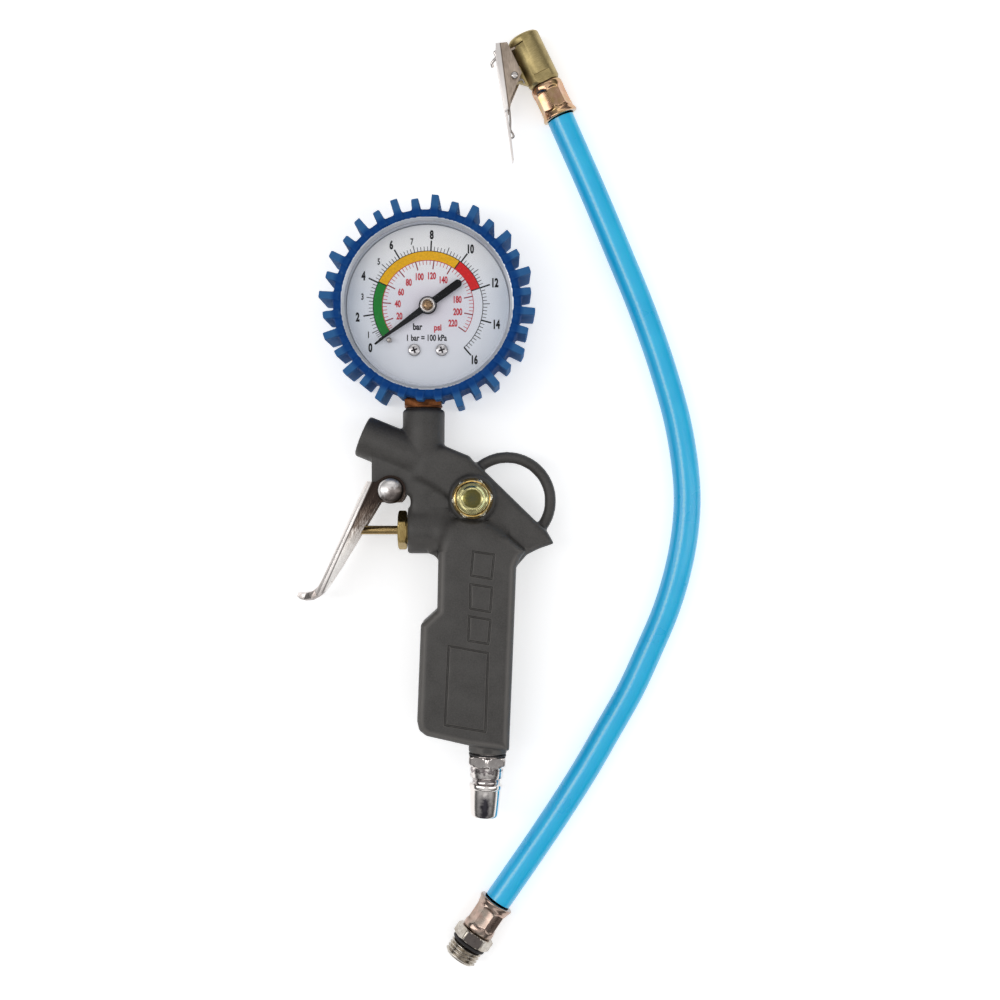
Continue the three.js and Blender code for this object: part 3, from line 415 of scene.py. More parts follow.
def screw_steel():
    """Plated screw head with painted shade: dark in its slots and round its rim."""
    r = Recipe("screw_steel", metallic=1.0, roughness=0.3)
    cloud = r.noise(0.8, 3)
    _, _, height = r.split(r.place)
    # Painted shade: the slot floors and the rim, below 22.6 mm, are painted dark.
    clear_of_painted_shade = r.span(r.in_mm(height), 22.6, 22.78)
    tone = r.ramp(cloud, (0.3, srgb(186, 182, 184)), (0.7, srgb(232, 230, 232)))
    r.bump((cloud, 0.01, 0.3))
    return r.paint(r.blend(clear_of_painted_shade, srgb(44, 40, 42), tone), r.spread(cloud, 0.26, 0.36))


def inlet_chrome():
    """Bright plate with painted reflections: darker rings along it, and a soft dark patch on the nipple."""
    r = Recipe("inlet_chrome", metallic=1.0, roughness=0.12)
    lean, down, _ = r.split_from(INLET_AT, -INLET_LEAN)
    cloud = r.noise(1.6, 3)
    reach = r.plus(r.maths("DIVIDE", down, -MM), r.spread(cloud, -1.2, 1.2))
    across = r.plus(r.maths("ABSOLUTE", r.in_mm(lean)), r.spread(cloud, -0.6, 0.6))
    # Painted reflections: light and dark rings along the plate, and a soft dark patch on the nipple.
    patch = r.times(r.span(reach, 14.5, 17.5), r.span(across, 0.8, 3.8, 1.0, 0.0))
    painted_reflection_bands = r.ramp(r.span(reach, 0, 15), (0.0, srgb(214, 206, 202)), (0.32, srgb(236, 230, 226)),
                   (0.42, srgb(120, 110, 112)), (0.5, srgb(240, 234, 230)), (0.68, srgb(150, 142, 142)),
                   (0.8, srgb(238, 232, 228)))
    r.bump((cloud, 0.01, 0.3))
    return r.paint(r.blend(patch, painted_reflection_bands, srgb(66, 64, 70)), r.spread(cloud, 0.08, 0.16))


def plug_gold():
    """Yellow plate with painted reflections by radius: greenish dark on the dome, a bright yellow ring, a
    dark band, and silvery highlights on the corner facets.
    """
    r = Recipe("plug_gold", metallic=1.0, roughness=0.2)
    cloud = r.noise(2.2, 4)
    fine = r.noise(0.4, 3)
    radius = r.plus(radius_from(r, PLUG_AT), r.spread(cloud, -0.25, 0.25))
    # Painted reflections by radius: dark olive dome top, bright yellow ring, dark band, and pale corner
    # highlights.
    tone = r.ramp(r.span(radius, 0, 8.4), (0.0, srgb(78, 82, 62)), (0.38, srgb(88, 86, 48)),
                  (0.48, srgb(255, 246, 180)), (0.68, srgb(255, 246, 180)), (0.73, srgb(110, 76, 32)),
                  (0.79, srgb(222, 188, 110)), (0.87, srgb(255, 250, 228)))
    speckled = r.blend(r.span(fine, 0.4, 0.75, 0, 0.25), tone, srgb(150, 116, 50))
    r.bump((cloud, 0.05, 0.3), (fine, 0.015, 0.5))
    return r.paint(speckled, r.spread(cloud, 0.14, 0.28))


def dial_paper():
    r = Recipe("dial_paper", roughness=0.45, Specular_IOR_Level=0.35)
    radius = r.span(radius_from(r, GAUGE_AT), 6, 31)
    cloud = r.noise(16, 3)
    grain = r.noise(0.25, 2)
    # Painted shade: the dial darkens a little towards its rim, under the raised bezel.
    tone = r.ramp(radius, (0.0, srgb(236, 232, 242)), (0.65, srgb(236, 240, 248)),
                  (1.0, srgb(222, 230, 240)))
    _, along, _ = r.split(r.place)
    # Painted light: the lower part is painted paler.
    low = r.span(r.in_mm(along), GAUGE_AT[1] - 2, GAUGE_AT[1] - 24)
    tone = r.blend(r.times(low, 0.7), tone, srgb(240, 242, 248))
    # Painted light: the upper part is painted white, where the bezel's shadow falls.
    high = r.span(r.in_mm(along), GAUGE_AT[1] + 6, GAUGE_AT[1] + 24)
    tone = r.blend(high, tone, srgb(255, 255, 255))
    mottled = r.blend(r.span(cloud, 0.35, 0.7, 0, 0.14), tone, srgb(206, 210, 222))
    r.bump((grain, 0.01, 0.3))
    return r.paint(mottled, r.spread(grain, 0.4, 0.52))


def ink(name, *levels):
    r = Recipe(name, roughness=0.6, Specular_IOR_Level=0.15)
    patch = r.noise(0.8, 3)
    dark = tuple(0.82 * c for c in srgb(*levels))
    light = tuple(min(1.0, 1.08 * c) for c in srgb(*levels))
    r.bump((patch, 0.004, 0.3))
    return r.paint(r.ramp(patch, (0.3, dark), (0.7, light)), r.spread(patch, 0.34, 0.5))


def black_paint():
    r = Recipe("black_paint", roughness=0.5, Specular_IOR_Level=0.08)
    grain = r.noise(0.3, 3)
    r.bump((grain, 0.015, 0.4))
    tone = r.ramp(grain, (0.3, srgb(4, 3, 4)), (0.75, srgb(14, 13, 14)))
    return r.paint(tone, r.spread(grain, 0.34, 0.52))


def black_rubber():
    r = Recipe("black_rubber", roughness=0.6)
    grain = r.noise(0.35, 3)
    cloud = r.noise(2, 2)
    r.bump((grain, 0.03, 0.5))
    tone = r.ramp(cloud, (0.3, srgb(24, 23, 24)), (0.7, srgb(46, 43, 44)))
    return r.paint(tone, r.spread(grain, 0.5, 0.68))


def clear_plastic():
    """The window: see-through, with a painted reflection that makes it a little milkier and duller towards
    its moulded rim.
    """
    r = Recipe("clear_plastic", roughness=0.06, IOR=1.45)
    radius = radius_from(r, GAUGE_AT)
    smudge = r.noise(12, 4)
    # Painted reflection: towards the rim the window is less clear and a duller grey.
    rim = r.span(radius, 29.4, 31.6)
    r.set(r.shader, Alpha=r.plus(r.span(rim, 0, 1, 0.008, 0.25), r.span(smudge, 0.4, 0.8, 0.0, 0.008)))
    return r.paint(r.blend(rim, srgb(232, 238, 248), srgb(206, 212, 224)), r.spread(smudge, 0.04, 0.1))


SILVER = (srgb(196, 190, 186), srgb(228, 222, 218))
looks = {
    "cast": cast_coat(),
    "boot": boot_rubber(),
    "hose": hose_skin(),
    "lever": lever_chrome(),
    "plug": plug_gold(),
    "pin": pin_chrome(),
    "screw": screw_steel(),
    "inlet": inlet_chrome(),
    "dial": dial_paper(),
    "clear": clear_plastic(),
    "black": black_paint(),
    "rubber": black_rubber(),
    "chrome": metal("bright_chrome", *SILVER, rough=(0.06, 0.13), streak_mm=5.0, depth=0.003),
    "bezel": metal("bezel_plate", srgb(214, 220, 230), srgb(236, 240, 246), rough=(0.4, 0.5), streak_mm=9.0,
                   depth=0.002),
    "steel": metal("plain_steel", srgb(150, 144, 140), srgb(190, 184, 180), rough=(0.24, 0.4),
                   streak_mm=0.8),
    "clip": clip_steel(),
    "nickel": nickel_hex(),
    "rod": metal("rod_brass", srgb(118, 98, 64), srgb(172, 148, 102), rough=(0.16, 0.3),
                 stretch=(0.2, 3, 3), streak_mm=0.5),
    "nut": metal("nut_brass", srgb(142, 120, 74), srgb(190, 168, 112), rough=(0.2, 0.38),
                 stretch=(3, 0.4, 0.4), streak_mm=0.5, stain=srgb(120, 92, 50)),
    "washer": metal("washer_plate", srgb(58, 50, 34), srgb(98, 84, 56), rough=(0.3, 0.44), streak_mm=0.9),
    "olive": metal("chuck_brass", srgb(160, 142, 96), srgb(200, 182, 132), rough=(0.32, 0.48),
                   stretch=(3, 0.25, 1), turn=CHUCK_SLOPE, streak_mm=0.5, stain=srgb(132, 116, 74),
                   stain_share=0.6),
    "brass": metal("plain_brass", srgb(150, 128, 72), srgb(190, 168, 104), rough=(0.24, 0.4),
                   streak_mm=0.8),
    "copper": metal("stem_copper", srgb(104, 62, 36), srgb(146, 92, 56), rough=(0.34, 0.52),
                    stretch=(3, 0.3, 1), streak_mm=0.6, stain=srgb(74, 44, 28)),
    "ferrule": metal("ferrule_plate", srgb(196, 152, 122), srgb(222, 184, 154), rough=(0.1, 0.2),
                     streak_mm=3.0, depth=0.004, stain=srgb(190, 164, 104), stain_share=0.85),
    "grey_ferrule": metal("grey_ferrule_plate", srgb(166, 140, 128), srgb(200, 176, 162),
                          rough=(0.12, 0.22), streak_mm=3.0, depth=0.004, stain=srgb(140, 134, 124),
                          stain_share=0.85),
    "case": ink("case_plate", 204, 210, 222),
    "hub": metal("hub_brass", srgb(120, 92, 66), srgb(176, 146, 112), rough=(0.24, 0.4), streak_mm=0.4),
    "ink_black": ink("ink_black", 18, 18, 22),
    "ink_red": ink("ink_red", 206, 62, 74),
    "ink_maroon": ink("ink_maroon", 150, 40, 58),
    "band_green": ink("band_green", 16, 134, 44),
    "band_yellow": ink("band_yellow", 250, 186, 14),
    "band_red": ink("band_red", 230, 26, 30),
}


# ---------------------------------------------------------------- making pieces
def wear(mesh, look):
    mesh.materials.clear()
    mesh.materials.append(looks[look])


def put(name, mesh, look, body, replaces=(), crease=38):
    """Turns a mesh into a piece that rides on a body."""
    wear(mesh, look)
    mesh.shade_smooth()
    mesh.set_sharp_from_angle(angle=math.radians(crease))
    made = add_object(name, mesh)
    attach(made, body)
    if replaces:
        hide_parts(*replaces)
    return made


def mesh_of(verts, faces):
    mesh = bpy.data.meshes.new("made")
    mesh.from_pydata([tuple(v) for v in verts], [], faces)
    work = bmesh.new()
    work.from_mesh(mesh)
    bmesh.ops.recalc_face_normals(work, faces=work.faces)
    work.to_mesh(mesh)
    work.free()
    return mesh


def modified(mesh, *steps):
    """The mesh after modifiers, given as (kind, settings) pairs."""
    holder = add_object("holder", mesh)
    for kind, settings in steps:
        modifier = holder.modifiers.new(kind, kind)
        for key, value in settings.items():
            setattr(modifier, key, value)
    bpy.context.view_layer.update()
    evaluated = holder.evaluated_get(bpy.context.evaluated_depsgraph_get())
    result = bpy.data.meshes.new_from_object(evaluated)
    bpy.data.objects.remove(holder)
    return result


def carved(mesh, *tools, operation="DIFFERENCE"):
    """The mesh after exact booleans with other meshes."""
    for tool in tools:
        cutter = add_object("cutter", tool)
        settings = {"operation": operation, "object": cutter, "solver": "EXACT"}
        mesh = modified(mesh, ("BOOLEAN", settings))
        bpy.data.objects.remove(cutter)
    return mesh


def radius_at(radius, theta):
    return radius(theta) if callable(radius) else radius


def loft(profile, origin, way, sides=96, start=None):
    """A solid of rings round an axis.

    The profile is (radius, distance) pairs in mm, and a radius may be a function of the angle. The
    profile begins and ends on the axis, or its last ring is its first.
    """
    way = way.normalized()
    first = (start or (UP if abs(way.z) < 0.9 else Vector((1, 0, 0)))).normalized()
    second = way.cross(first)
    closed = profile[0] == profile[-1]
    rings, verts, faces = [], [], []
    for radius, along in profile[:-1] if closed else profile:
        base = origin + way * along * MM
        if not callable(radius) and radius == 0:
            rings.append([len(verts)])
            verts.append(base)
            continue
        rings.append(list(range(len(verts), len(verts) + sides)))
        for i in range(sides):
            theta = 2 * math.pi * i / sides
            out = first * math.cos(theta) + second * math.sin(theta)
            verts.append(base + out * radius_at(radius, theta) * MM)
    pairs = list(zip(rings, rings[1:])) + ([(rings[-1], rings[0])] if closed else [])
    for low, high in pairs:
        for i in range(sides):
            j = (i + 1) % sides
            if len(low) == 1:
                faces.append((low[0], high[i], high[j]))
            elif len(high) == 1:
                faces.append((low[i], high[0], low[j]))
            else:
                faces.append((low[i], high[i], high[j], low[j]))
    return mesh_of(verts, faces)


def rounded_profile(corners, radius=0.2, steps=3):
    """The (radius, distance) corners with small fillets, apart from those on the axis."""
    closed = corners[0] == corners[-1]
    points = corners[:-1] if closed else corners
    made = []
    for i, corner in enumerate(points):
        if not closed and i in (0, len(points) - 1):
            made.append(corner)
            continue
        here = Vector(corner)
        before = Vector(points[i - 1]) - here
        after = Vector(points[(i + 1) % len(points)]) - here
        reach = min(radius, 0.45 * before.length, 0.45 * after.length)
        low, high = here + before.normalized() * reach, here + after.normalized() * reach
        for k in range(steps + 1):
            t = k / steps
            made.append(tuple((1 - t) ** 2 * low + 2 * t * (1 - t) * here + t * t * high))
    return made + made[:1] if closed else made


def hexagon(flats, turn=0.0, soft=0.0):
    """Radius of a hexagon by angle, with corners rounded off by `soft` mm."""
    corner = flats / math.sqrt(3)

    def radius(theta):
        local = (theta - math.radians(turn) + math.pi / 6) % (math.pi / 3) - math.pi / 6
        return min(flats / 2 / math.cos(local), corner - soft)

    return radius


def least(first, second):
    return lambda theta: min(radius_at(first, theta), radius_at(second, theta))


# Faces of a box whose corners run through its three directions, the last one fastest.
BOX_FACES = [(0, 1, 3, 2), (4, 6, 7, 5), (0, 4, 5, 1), (2, 3, 7, 6), (0, 2, 6, 4), (1, 5, 7, 3)]


def box_mesh(low, high):
    verts = [(x, y, z) for x in (low[0], high[0]) for y in (low[1], high[1]) for z in (low[2], high[2])]
    return mesh_of(verts, BOX_FACES)


def prism_faces(count):
    """Faces of a prism whose first `count` corners are its foot and whose others are its top."""
    sides = [(i, (i + 1) % count, count + (i + 1) % count, count + i) for i in range(count)]
    return [tuple(reversed(range(count))), tuple(range(count, 2 * count)), *sides]


def slab(outline, low, high):
    """Verts and faces of an upright prism on a level outline of design points."""
    return [at(x, y, z) for z in (low, high) for x, y in outline], prism_faces(len(outline))


def cad_copy(name):
    """A copy of a CAD node's mesh with its flat faces merged."""
    work = bmesh.new()
    work.from_mesh(nodes[name].data)
    bmesh.ops.remove_doubles(work, verts=work.verts, dist=2e-6)
    limits = {"angle_limit": math.radians(1.0), "verts": work.verts, "edges": work.edges}
    bmesh.ops.dissolve_limit(work, use_dissolve_boundaries=False, delimit=set(), **limits)
    mesh = bpy.data.meshes.new(name + "_copy")
    work.to_mesh(mesh)
    work.free()
    mesh.materials.clear()
    return mesh


def softened(mesh, width, segments=3, angle=28):
    """The mesh with its edges rolled over by `width` mm."""
    return modified(mesh, ("BEVEL", {
        "width": width * MM, "segments": segments, "limit_method": "ANGLE",
        "angle_limit": math.radians(angle), "use_clamp_overlap": True, "miter_outer": "MITER_ARC",
    }))


def remeshed(mesh, voxel, smooth):
    """The mesh as one even skin whose edges are rounded off."""
    return modified(
        mesh,
        ("REMESH", {"mode": "VOXEL", "voxel_size": voxel * MM}),
        ("SMOOTH", {"factor": 0.5, "iterations": smooth}),
    )


# ---------------------------------------------------------------- hose
HOSE_LINE = [
    (51.2, 150.4, 7.0), (53.3, 145.6, 6.9), (63.5, 122.8, 6.1), (73.4, 99.6, 5.4), (83.0, 76.2, 5.3),
    (91.2, 52.8, 5.3), (97.5, 29.4, 5.3), (100.5, 6.0, 5.3), (99.8, -9.4, 5.3), (97.0, -25.0, 5.3),
    (92.3, -40.6, 5.3), (85.7, -56.2, 5.3), (78.5, -71.8, 5.3), (69.7, -87.4, 5.3), (60.8, -102.8, 5.3),
    (50.9, -118.4, 5.4), (40.3, -134.0, 6.1), (29.6, -149.3, 6.9), (26.9, -153.2, 7.0),
]


def between(p, q, low, high, t):
    """The point at t, when p stands at low and q at high."""
    share = (t - low) / (high - low)
    return p * (1 - share) + q * share


def curve_through(points, count):
    """Evenly spaced points on a centripetal Catmull-Rom curve."""
    ends = [2 * points[0] - points[1], *points, 2 * points[-1] - points[-2]]
    dense = []
    for a, b, c, d in zip(ends, ends[1:], ends[2:], ends[3:]):
        k0 = 0.0
        k1 = k0 + math.sqrt((b - a).length)
        k2 = k1 + math.sqrt((c - b).length)
        k3 = k2 + math.sqrt((d - c).length)
        for step in range(24):
            t = k1 + (k2 - k1) * step / 24
            one, two, three = between(a, b, k0, k1, t), between(b, c, k1, k2, t), between(c, d, k2, k3, t)
            dense.append(between(between(one, two, k0, k2, t), between(two, three, k1, k3, t), k1, k2, t))
    dense.append(points[-1])
    lengths = [0.0]
    for p, q in zip(dense, dense[1:]):
        lengths.append(lengths[-1] + (q - p).length)
    table = np.array([tuple(p) for p in dense])
    wanted = np.linspace(0, lengths[-1], count)
    return [Vector(p) for p in np.stack([np.interp(wanted, lengths, table[:, i]) for i in range(3)], 1)]


def tube(path, radius, sides):
    """A capped tube along a path with UVs: turns along it, and turns round it."""
    verts, faces, uvs = [], [], []
    side = None
    along = 0.0
    for i, point in enumerate(path):
        way = (path[min(i + 1, len(path) - 1)] - path[max(i - 1, 0)]).normalized()
        side = way.cross(UP).normalized() if side is None else (side - way * side.dot(way)).normalized()
        lift = side.cross(way)
        along += (point - path[i - 1]).length if i else 0.0
        for k in range(sides):
            angle = 2 * math.pi * k / sides
            verts.append(point + (side * math.cos(angle) + lift * math.sin(angle)) * radius * MM)
            uvs.append((along / (2 * math.pi * radius * MM), k / sides))
    for i in range(len(path) - 1):
        for k in range(sides):
            a, b = i * sides + k, i * sides + (k + 1) % sides
            faces.append((a, b, b + sides, a + sides))
    last = (len(path) - 1) * sides
    faces += [tuple(reversed(range(sides))), tuple(range(last, last + sides))]
    mesh = bpy.data.meshes.new("tube")
    mesh.from_pydata([tuple(v) for v in verts], [], faces)
    layer = mesh.uv_layers.new(name="UVMap")
    for face in mesh.polygons:
        wraps = len(face.vertices) == 4 and {v % sides for v in face.vertices} == {0, sides - 1}
        for loop in face.loop_indices:
            vertex = mesh.loops[loop].vertex_index
            u, v = uvs[vertex]
            layer.data[loop].uv = (u, 1.0 if wraps and vertex % sides == 0 else v)
    return mesh


hose_path = curve_through([at(*p) for p in HOSE_LINE], 320)
hose = put("hose_tube", tube(hose_path, HOSE_R, 48), "hose", "filler_hose", ["hose"])

chuck_way = heading(CHUCK_SLOPE)
chuck_left = Vector((chuck_way.y, -chuck_way.x, 0))
connector_way = heading(CONNECTOR_SLOPE)


def chuck_at(u, v=0.0, z=END_Z):
    return at(*CHUCK_AT, z) + (chuck_way * u + chuck_left * v) * MM


def connector_at(s):
    return at(*CONNECTOR_AT, END_Z) + connector_way * s * MM


# ---------------------------------------------------------------- hose ends
FLATS = 8
FLAT_TURN = math.pi / FLATS
PRESSED_ROWS = 44


def pressed(base, along):
    """Radius of the crimped shell by angle: eight dimpled flats with rounded ends."""
    def radius(theta):
        local = (theta + FLAT_TURN / 2) % (2 * FLAT_TURN) - FLAT_TURN
        bow = 0.7 * (local / FLAT_TURN) ** 2
        enter = smoothstep(2.5 + bow, 3.5 + bow, along)
        leave = 1 - smoothstep(FERRULE_LENGTH - 3.0 - bow, FERRULE_LENGTH - 1.9 - bow, along)
        flat = 5.72 / math.cos(local) - 0.12 * math.cos(local * FLATS / 2)
        return base - max(0.0, base - flat) * min(enter, leave)

    return radius


def ferrule(origin, way):
    """Crimped shell: flared lip where the hose comes out, pressed flats, and a round collar."""
    end = FERRULE_LENGTH
    outside = [(5.33, 0.0), (6.35, 0.0), (6.75, 0.1), (6.95, 0.4), (6.9, 0.9), (6.65, 1.5), (6.42, 2.2)]
    for i in range(PRESSED_ROWS + 1):
        along = 2.4 + (end - 1.2 - 2.4) * i / PRESSED_ROWS
        outside.append((pressed(6.38, along), along))
    outside += [(6.36, end - 0.7), (6.25, end - 0.3), (6.0, end), (3.5, end), (3.4, end - 0.2),
                (3.4, end - 1.2), (5.33, end - 1.2), (5.33, 0.0)]
    return loft(outside, origin, way, 192)


chuck_shell = put("chuck_end_shell", ferrule(chuck_at(CHUCK_LENGTH + 0.5 + FERRULE_LENGTH), -chuck_way),
                  "ferrule", "filler_hose", ["chuck_ferrule"], 50)
thread_shell = put("thread_end_shell", ferrule(connector_at(0), connector_way),
                   "grey_ferrule", "filler_hose", ["thread_ferrule"], 50)

HEX_START = FERRULE_LENGTH + 0.3
THREAD_START = HEX_START + 6.4
THREAD_PITCH = 1.4
THREAD_TURNS = 4


def threaded_end():
    """Hexagon and threaded nose of the connector."""
    flats = hexagon(14.0, 0, 0.12)
    body = [(3.1, -1.2), (3.1, -0.05), (7.0, -0.05), (least(flats, 7.2), 0), (least(flats, 7.75), 0.32),
            (flats, 0.62), (flats, 3.8), (least(flats, 7.75), 4.1), (least(flats, 7.2), 4.4), (5.4, 4.4),
            (5.3, 4.5), (5.3, 6.3)]
    ridge = [(5.72, 0.02), (5.84, 0.12), (6.48, 0.5), (6.55, 0.58), (6.55, 0.72), (6.48, 0.8), (5.84, 1.2)]
    nose = [(5.75, 0), (5.66, 0.12), (5.5, 0.3), (2.6, 0.3), (2.4, 0.1)]
    rings = [(radius, HEX_START + along) for radius, along in body]
    for i in range(THREAD_TURNS):
        rings += [(radius, THREAD_START + THREAD_PITCH * i + along) for radius, along in ridge]
    tip = THREAD_START + THREAD_PITCH * THREAD_TURNS
    rings += [(radius, tip + along) for radius, along in nose]
    rings += [(2.4, HEX_START - 1.2), rings[0]]
    return loft(rings, connector_at(0), connector_way, 144)


threaded = put("threaded_fitting", threaded_end(), "nickel", "filler_hose",
               ["hose_connector"], 24)


def ring_round(section_r, section_z, middle, along, steps=16):
    """Profile of a ring with an oval section."""
    points = [(middle + section_r * math.cos(a), along + section_z * math.sin(a))
              for a in (2 * math.pi * i / steps for i in range(steps))]
    return points + points[:1]


o_ring = put(
    "o_ring", loft(ring_round(0.68, 0.66, 6.22, FERRULE_LENGTH + 5.7), connector_at(0), connector_way, 96),
    "rubber", "filler_hose", ["connector_o_ring"],
)

# ---------------------------------------------------------------- clip-on chuck
CHUCK_R = 6.3
CHUCK_PIN = (13.4, 9.8)
LUG_R = 2.3
LUG_HALF = 1.7


def chuck_box(u, v, z):
    """A box along the chuck, given by its ranges along, out to the left and upwards."""
    return mesh_of([chuck_at(a, b, END_Z + c) for a in u for b in v for c in z], BOX_FACES)


def chuck_barrel():
    outside = rounded_profile([
        (4.4, 0), (5.5, 0), (CHUCK_R, 0.8), (CHUCK_R, 19.3), (5.7, CHUCK_LENGTH), (1.8, CHUCK_LENGTH),
        (1.8, 14), (3.4, 14), (3.4, 9.3), (4.4, 9.3), (4.4, 0),
    ], 0.3)
    barrel = loft(outside, chuck_at(0), chuck_way, 128)
    slot = chuck_box((2.9, 3.6), (1.4, 9), (-9, 9))
    wrench = chuck_box((16.6, 21), (-4.6, 3.2), (5.35, 9))
    under = chuck_box((16.6, 21), (-4.6, 3.2), (-9, -5.35))
    return carved(barrel, slot, wrench, under)


barrel = put("chuck_barrel", softened(chuck_barrel(), 0.12, 2, 30), "olive", "filler_hose",
             ["chuck_body"], 34)


def lug_mesh():
    """The flat ear that carries the lever's pin."""
    count = 20
    outline = [(9.8, 5.4)]
    for i in range(count + 1):
        angle = math.radians(-78 + 186 * i / count)
        outline.append((CHUCK_PIN[0] + LUG_R * math.sin(angle), CHUCK_PIN[1] + LUG_R * math.cos(angle)))
    outline.append((19.0, 5.4))
    verts = [chuck_at(u, v, END_Z + z) for z in (-LUG_HALF, LUG_HALF) for u, v in outline]
    ear = mesh_of(verts, prism_faces(len(outline)))
    hole = loft([(0, -3), (1.35, -3), (1.35, 3), (0, 3)], chuck_at(*CHUCK_PIN), UP, 40)
    return softened(carved(ear, hole), 0.2, 2)


lug = put("chuck_lug", lug_mesh(), "olive", "filler_hose")
clip = put("chuck_clip_lever", softened(cad_copy("chuck_lever"), 0.26, 3), "clip", "chuck_clip",
           ["chuck_lever"], 30)
CLIP_PIN_END = [(1.1, 5.5), (1.35, 5.5), (1.35, 6.0), (0.9, 6.3), (0, 6.4)]
clip_pin_profile = [(radius, -along) for radius, along in reversed(CLIP_PIN_END)] + CLIP_PIN_END
clip_pin = put(
    "chuck_clip_pin", loft(rounded_profile(clip_pin_profile, 0.15), chuck_at(*CHUCK_PIN), UP, 40),
    "chrome", "filler_hose", ["chuck_lever_pin"],
)


def spring_path():
    points = [chuck_at(17.2, 7.3, END_Z + 2.3), chuck_at(15.4, 7.6, END_Z + 2.3)]
    steps = 16
    for i in range(steps + 1):
        angle = math.radians(-30 + 420 * i / steps)
        out = (CHUCK_PIN[0] + 2.05 * math.cos(angle), CHUCK_PIN[1] + 2.05 * math.sin(angle))
        points.append(chuck_at(*out, END_Z + 2.3 + 1.2 * i / steps))
    return points + [chuck_at(17.5, 13.6, END_Z + 3.5), chuck_at(22, 15.6, END_Z + 3.3)]


def wire(points, count, radius, sides):
    return tube(curve_through(points, count), radius, sides)


clip_spring = put("chuck_clip_spring", wire(spring_path(), 120, 0.4, 12), "steel", "filler_hose",
                  ["chuck_spring"])

HOOK_LINE = [(26.9, 175.6, 9.6), (25.7, 175.4, 9.4), (26.3, 173.6, 9.2), (25.2, 172.2, 9.0),
             (24.5, 171.2, 8.6), (24.9, 169.8, 8.2)]
LEG_LINE = [(30.9, 156.2, 9.0), (31.4, 152.5, 9.0), (31.7, 148.6, 8.8), (31.8, 145.4, 8.6),
            (32.6, 144.2, 8.4), (33.0, 143.0, 8.2), (32.2, 142.4, 8.0)]
clip_hook = put("chuck_clip_hook", wire([at(*p) for p in HOOK_LINE], 60, 0.62, 14), "chrome",
                "chuck_clip")
clip_leg = put("chuck_clip_leg", wire([at(*p) for p in LEG_LINE], 60, 0.4, 14), "steel",
               "chuck_clip")

# ---------------------------------------------------------------- gun body
GRIP_TOP = 26.0
GRIP_FRAMES = [
    [(17.6, -17.2), (25.5, -18.4), (24.5, -27.6), (16.8, -26.2)],
    [(16.5, -29.5), (24.7, -30.8), (24.0, -40.0), (16.5, -38.7)],
    [(16.1, -41.6), (24.1, -43.0), (23.3, -52.0), (15.8, -50.8)],
    [(8.4, -52.8), (23.2, -55.5), (22.2, -85.1), (7.0, -82.6)],
]
GROOVE_HALF = 0.42
GROOVE_DEPTH = 0.5
FACE_LOW, FACE_HIGH = (5.0, -87.2), (27.0, -15.2)  # the part of the grip's face that holds the frames
FACE_SKIN = 1.2  # how far below the face a point still counts as part of it
CREASE = (-1.6, 17.3), (-9.7, 29.3)  # where the neck meets the slanted tube
CREASE_CLEAR = 2.6
FLOW_PASSES = 26  # rounds of smoothing where the blocks meet
SHOULDER_PASSES = 110  # and at the grip's shoulder


def outline_distance(point, corners):
    """Distances of level points from a closed outline."""
    best = np.full(len(point), 1e9)
    for (ax, ay), (bx, by) in zip(corners, corners[1:] + corners[:1]):
        a, way = np.array((ax, ay)), np.array((bx - ax, by - ay))
        share = np.clip(((point - a) @ way) / (way @ way), 0, 1)
        best = np.minimum(best, np.linalg.norm(point - a - share[:, None] * way, axis=1))
    return best


def design_level(point):
    """The level place of a point, in design millimetres."""
    return point.x / MM - CENTRE_SHIFT[0], point.y / MM - CENTRE_SHIFT[1]


def in_flow(point):
    """Whether a point lies where the neck, the tube and the blocks run softly into each other."""
    x, y = design_level(point)
    clear_of_plug = math.dist((x, y), PLUG_AT) > 10.5
    foot, top = Vector(CREASE[0]), Vector(CREASE[1])
    _, along = geometry.intersect_point_line(Vector((x, y)), foot, top)
    nearest = foot.lerp(top, min(1.2, max(0.0, along)))
    clear_of_crease = (Vector((x, y)) - nearest).length > CREASE_CLEAR
    in_blocks = -9 < x < 15 and -17 < y < 27 and point.z > (MID_Z + 1.5) * MM
    return in_blocks and clear_of_plug and clear_of_crease


def in_shoulder(point):
    """Whether a point lies where the valve boss and the upper block run into the grip's top."""
    x, y = design_level(point)
    clear_of_plug = math.dist((x, y), PLUG_AT) > 9.8
    return 0 < x < 31 and -17 < y < -1 and point.z > (MID_Z + 5) * MM and clear_of_plug


def on_face(point):
    """Whether a point lies on the part of the grip's face that holds the frames."""
    low, high = at(*FACE_LOW, GRIP_TOP - FACE_SKIN), at(*FACE_HIGH, 0)
    return low.x < point.x < high.x and low.y < point.y < high.y and point.z > low.z


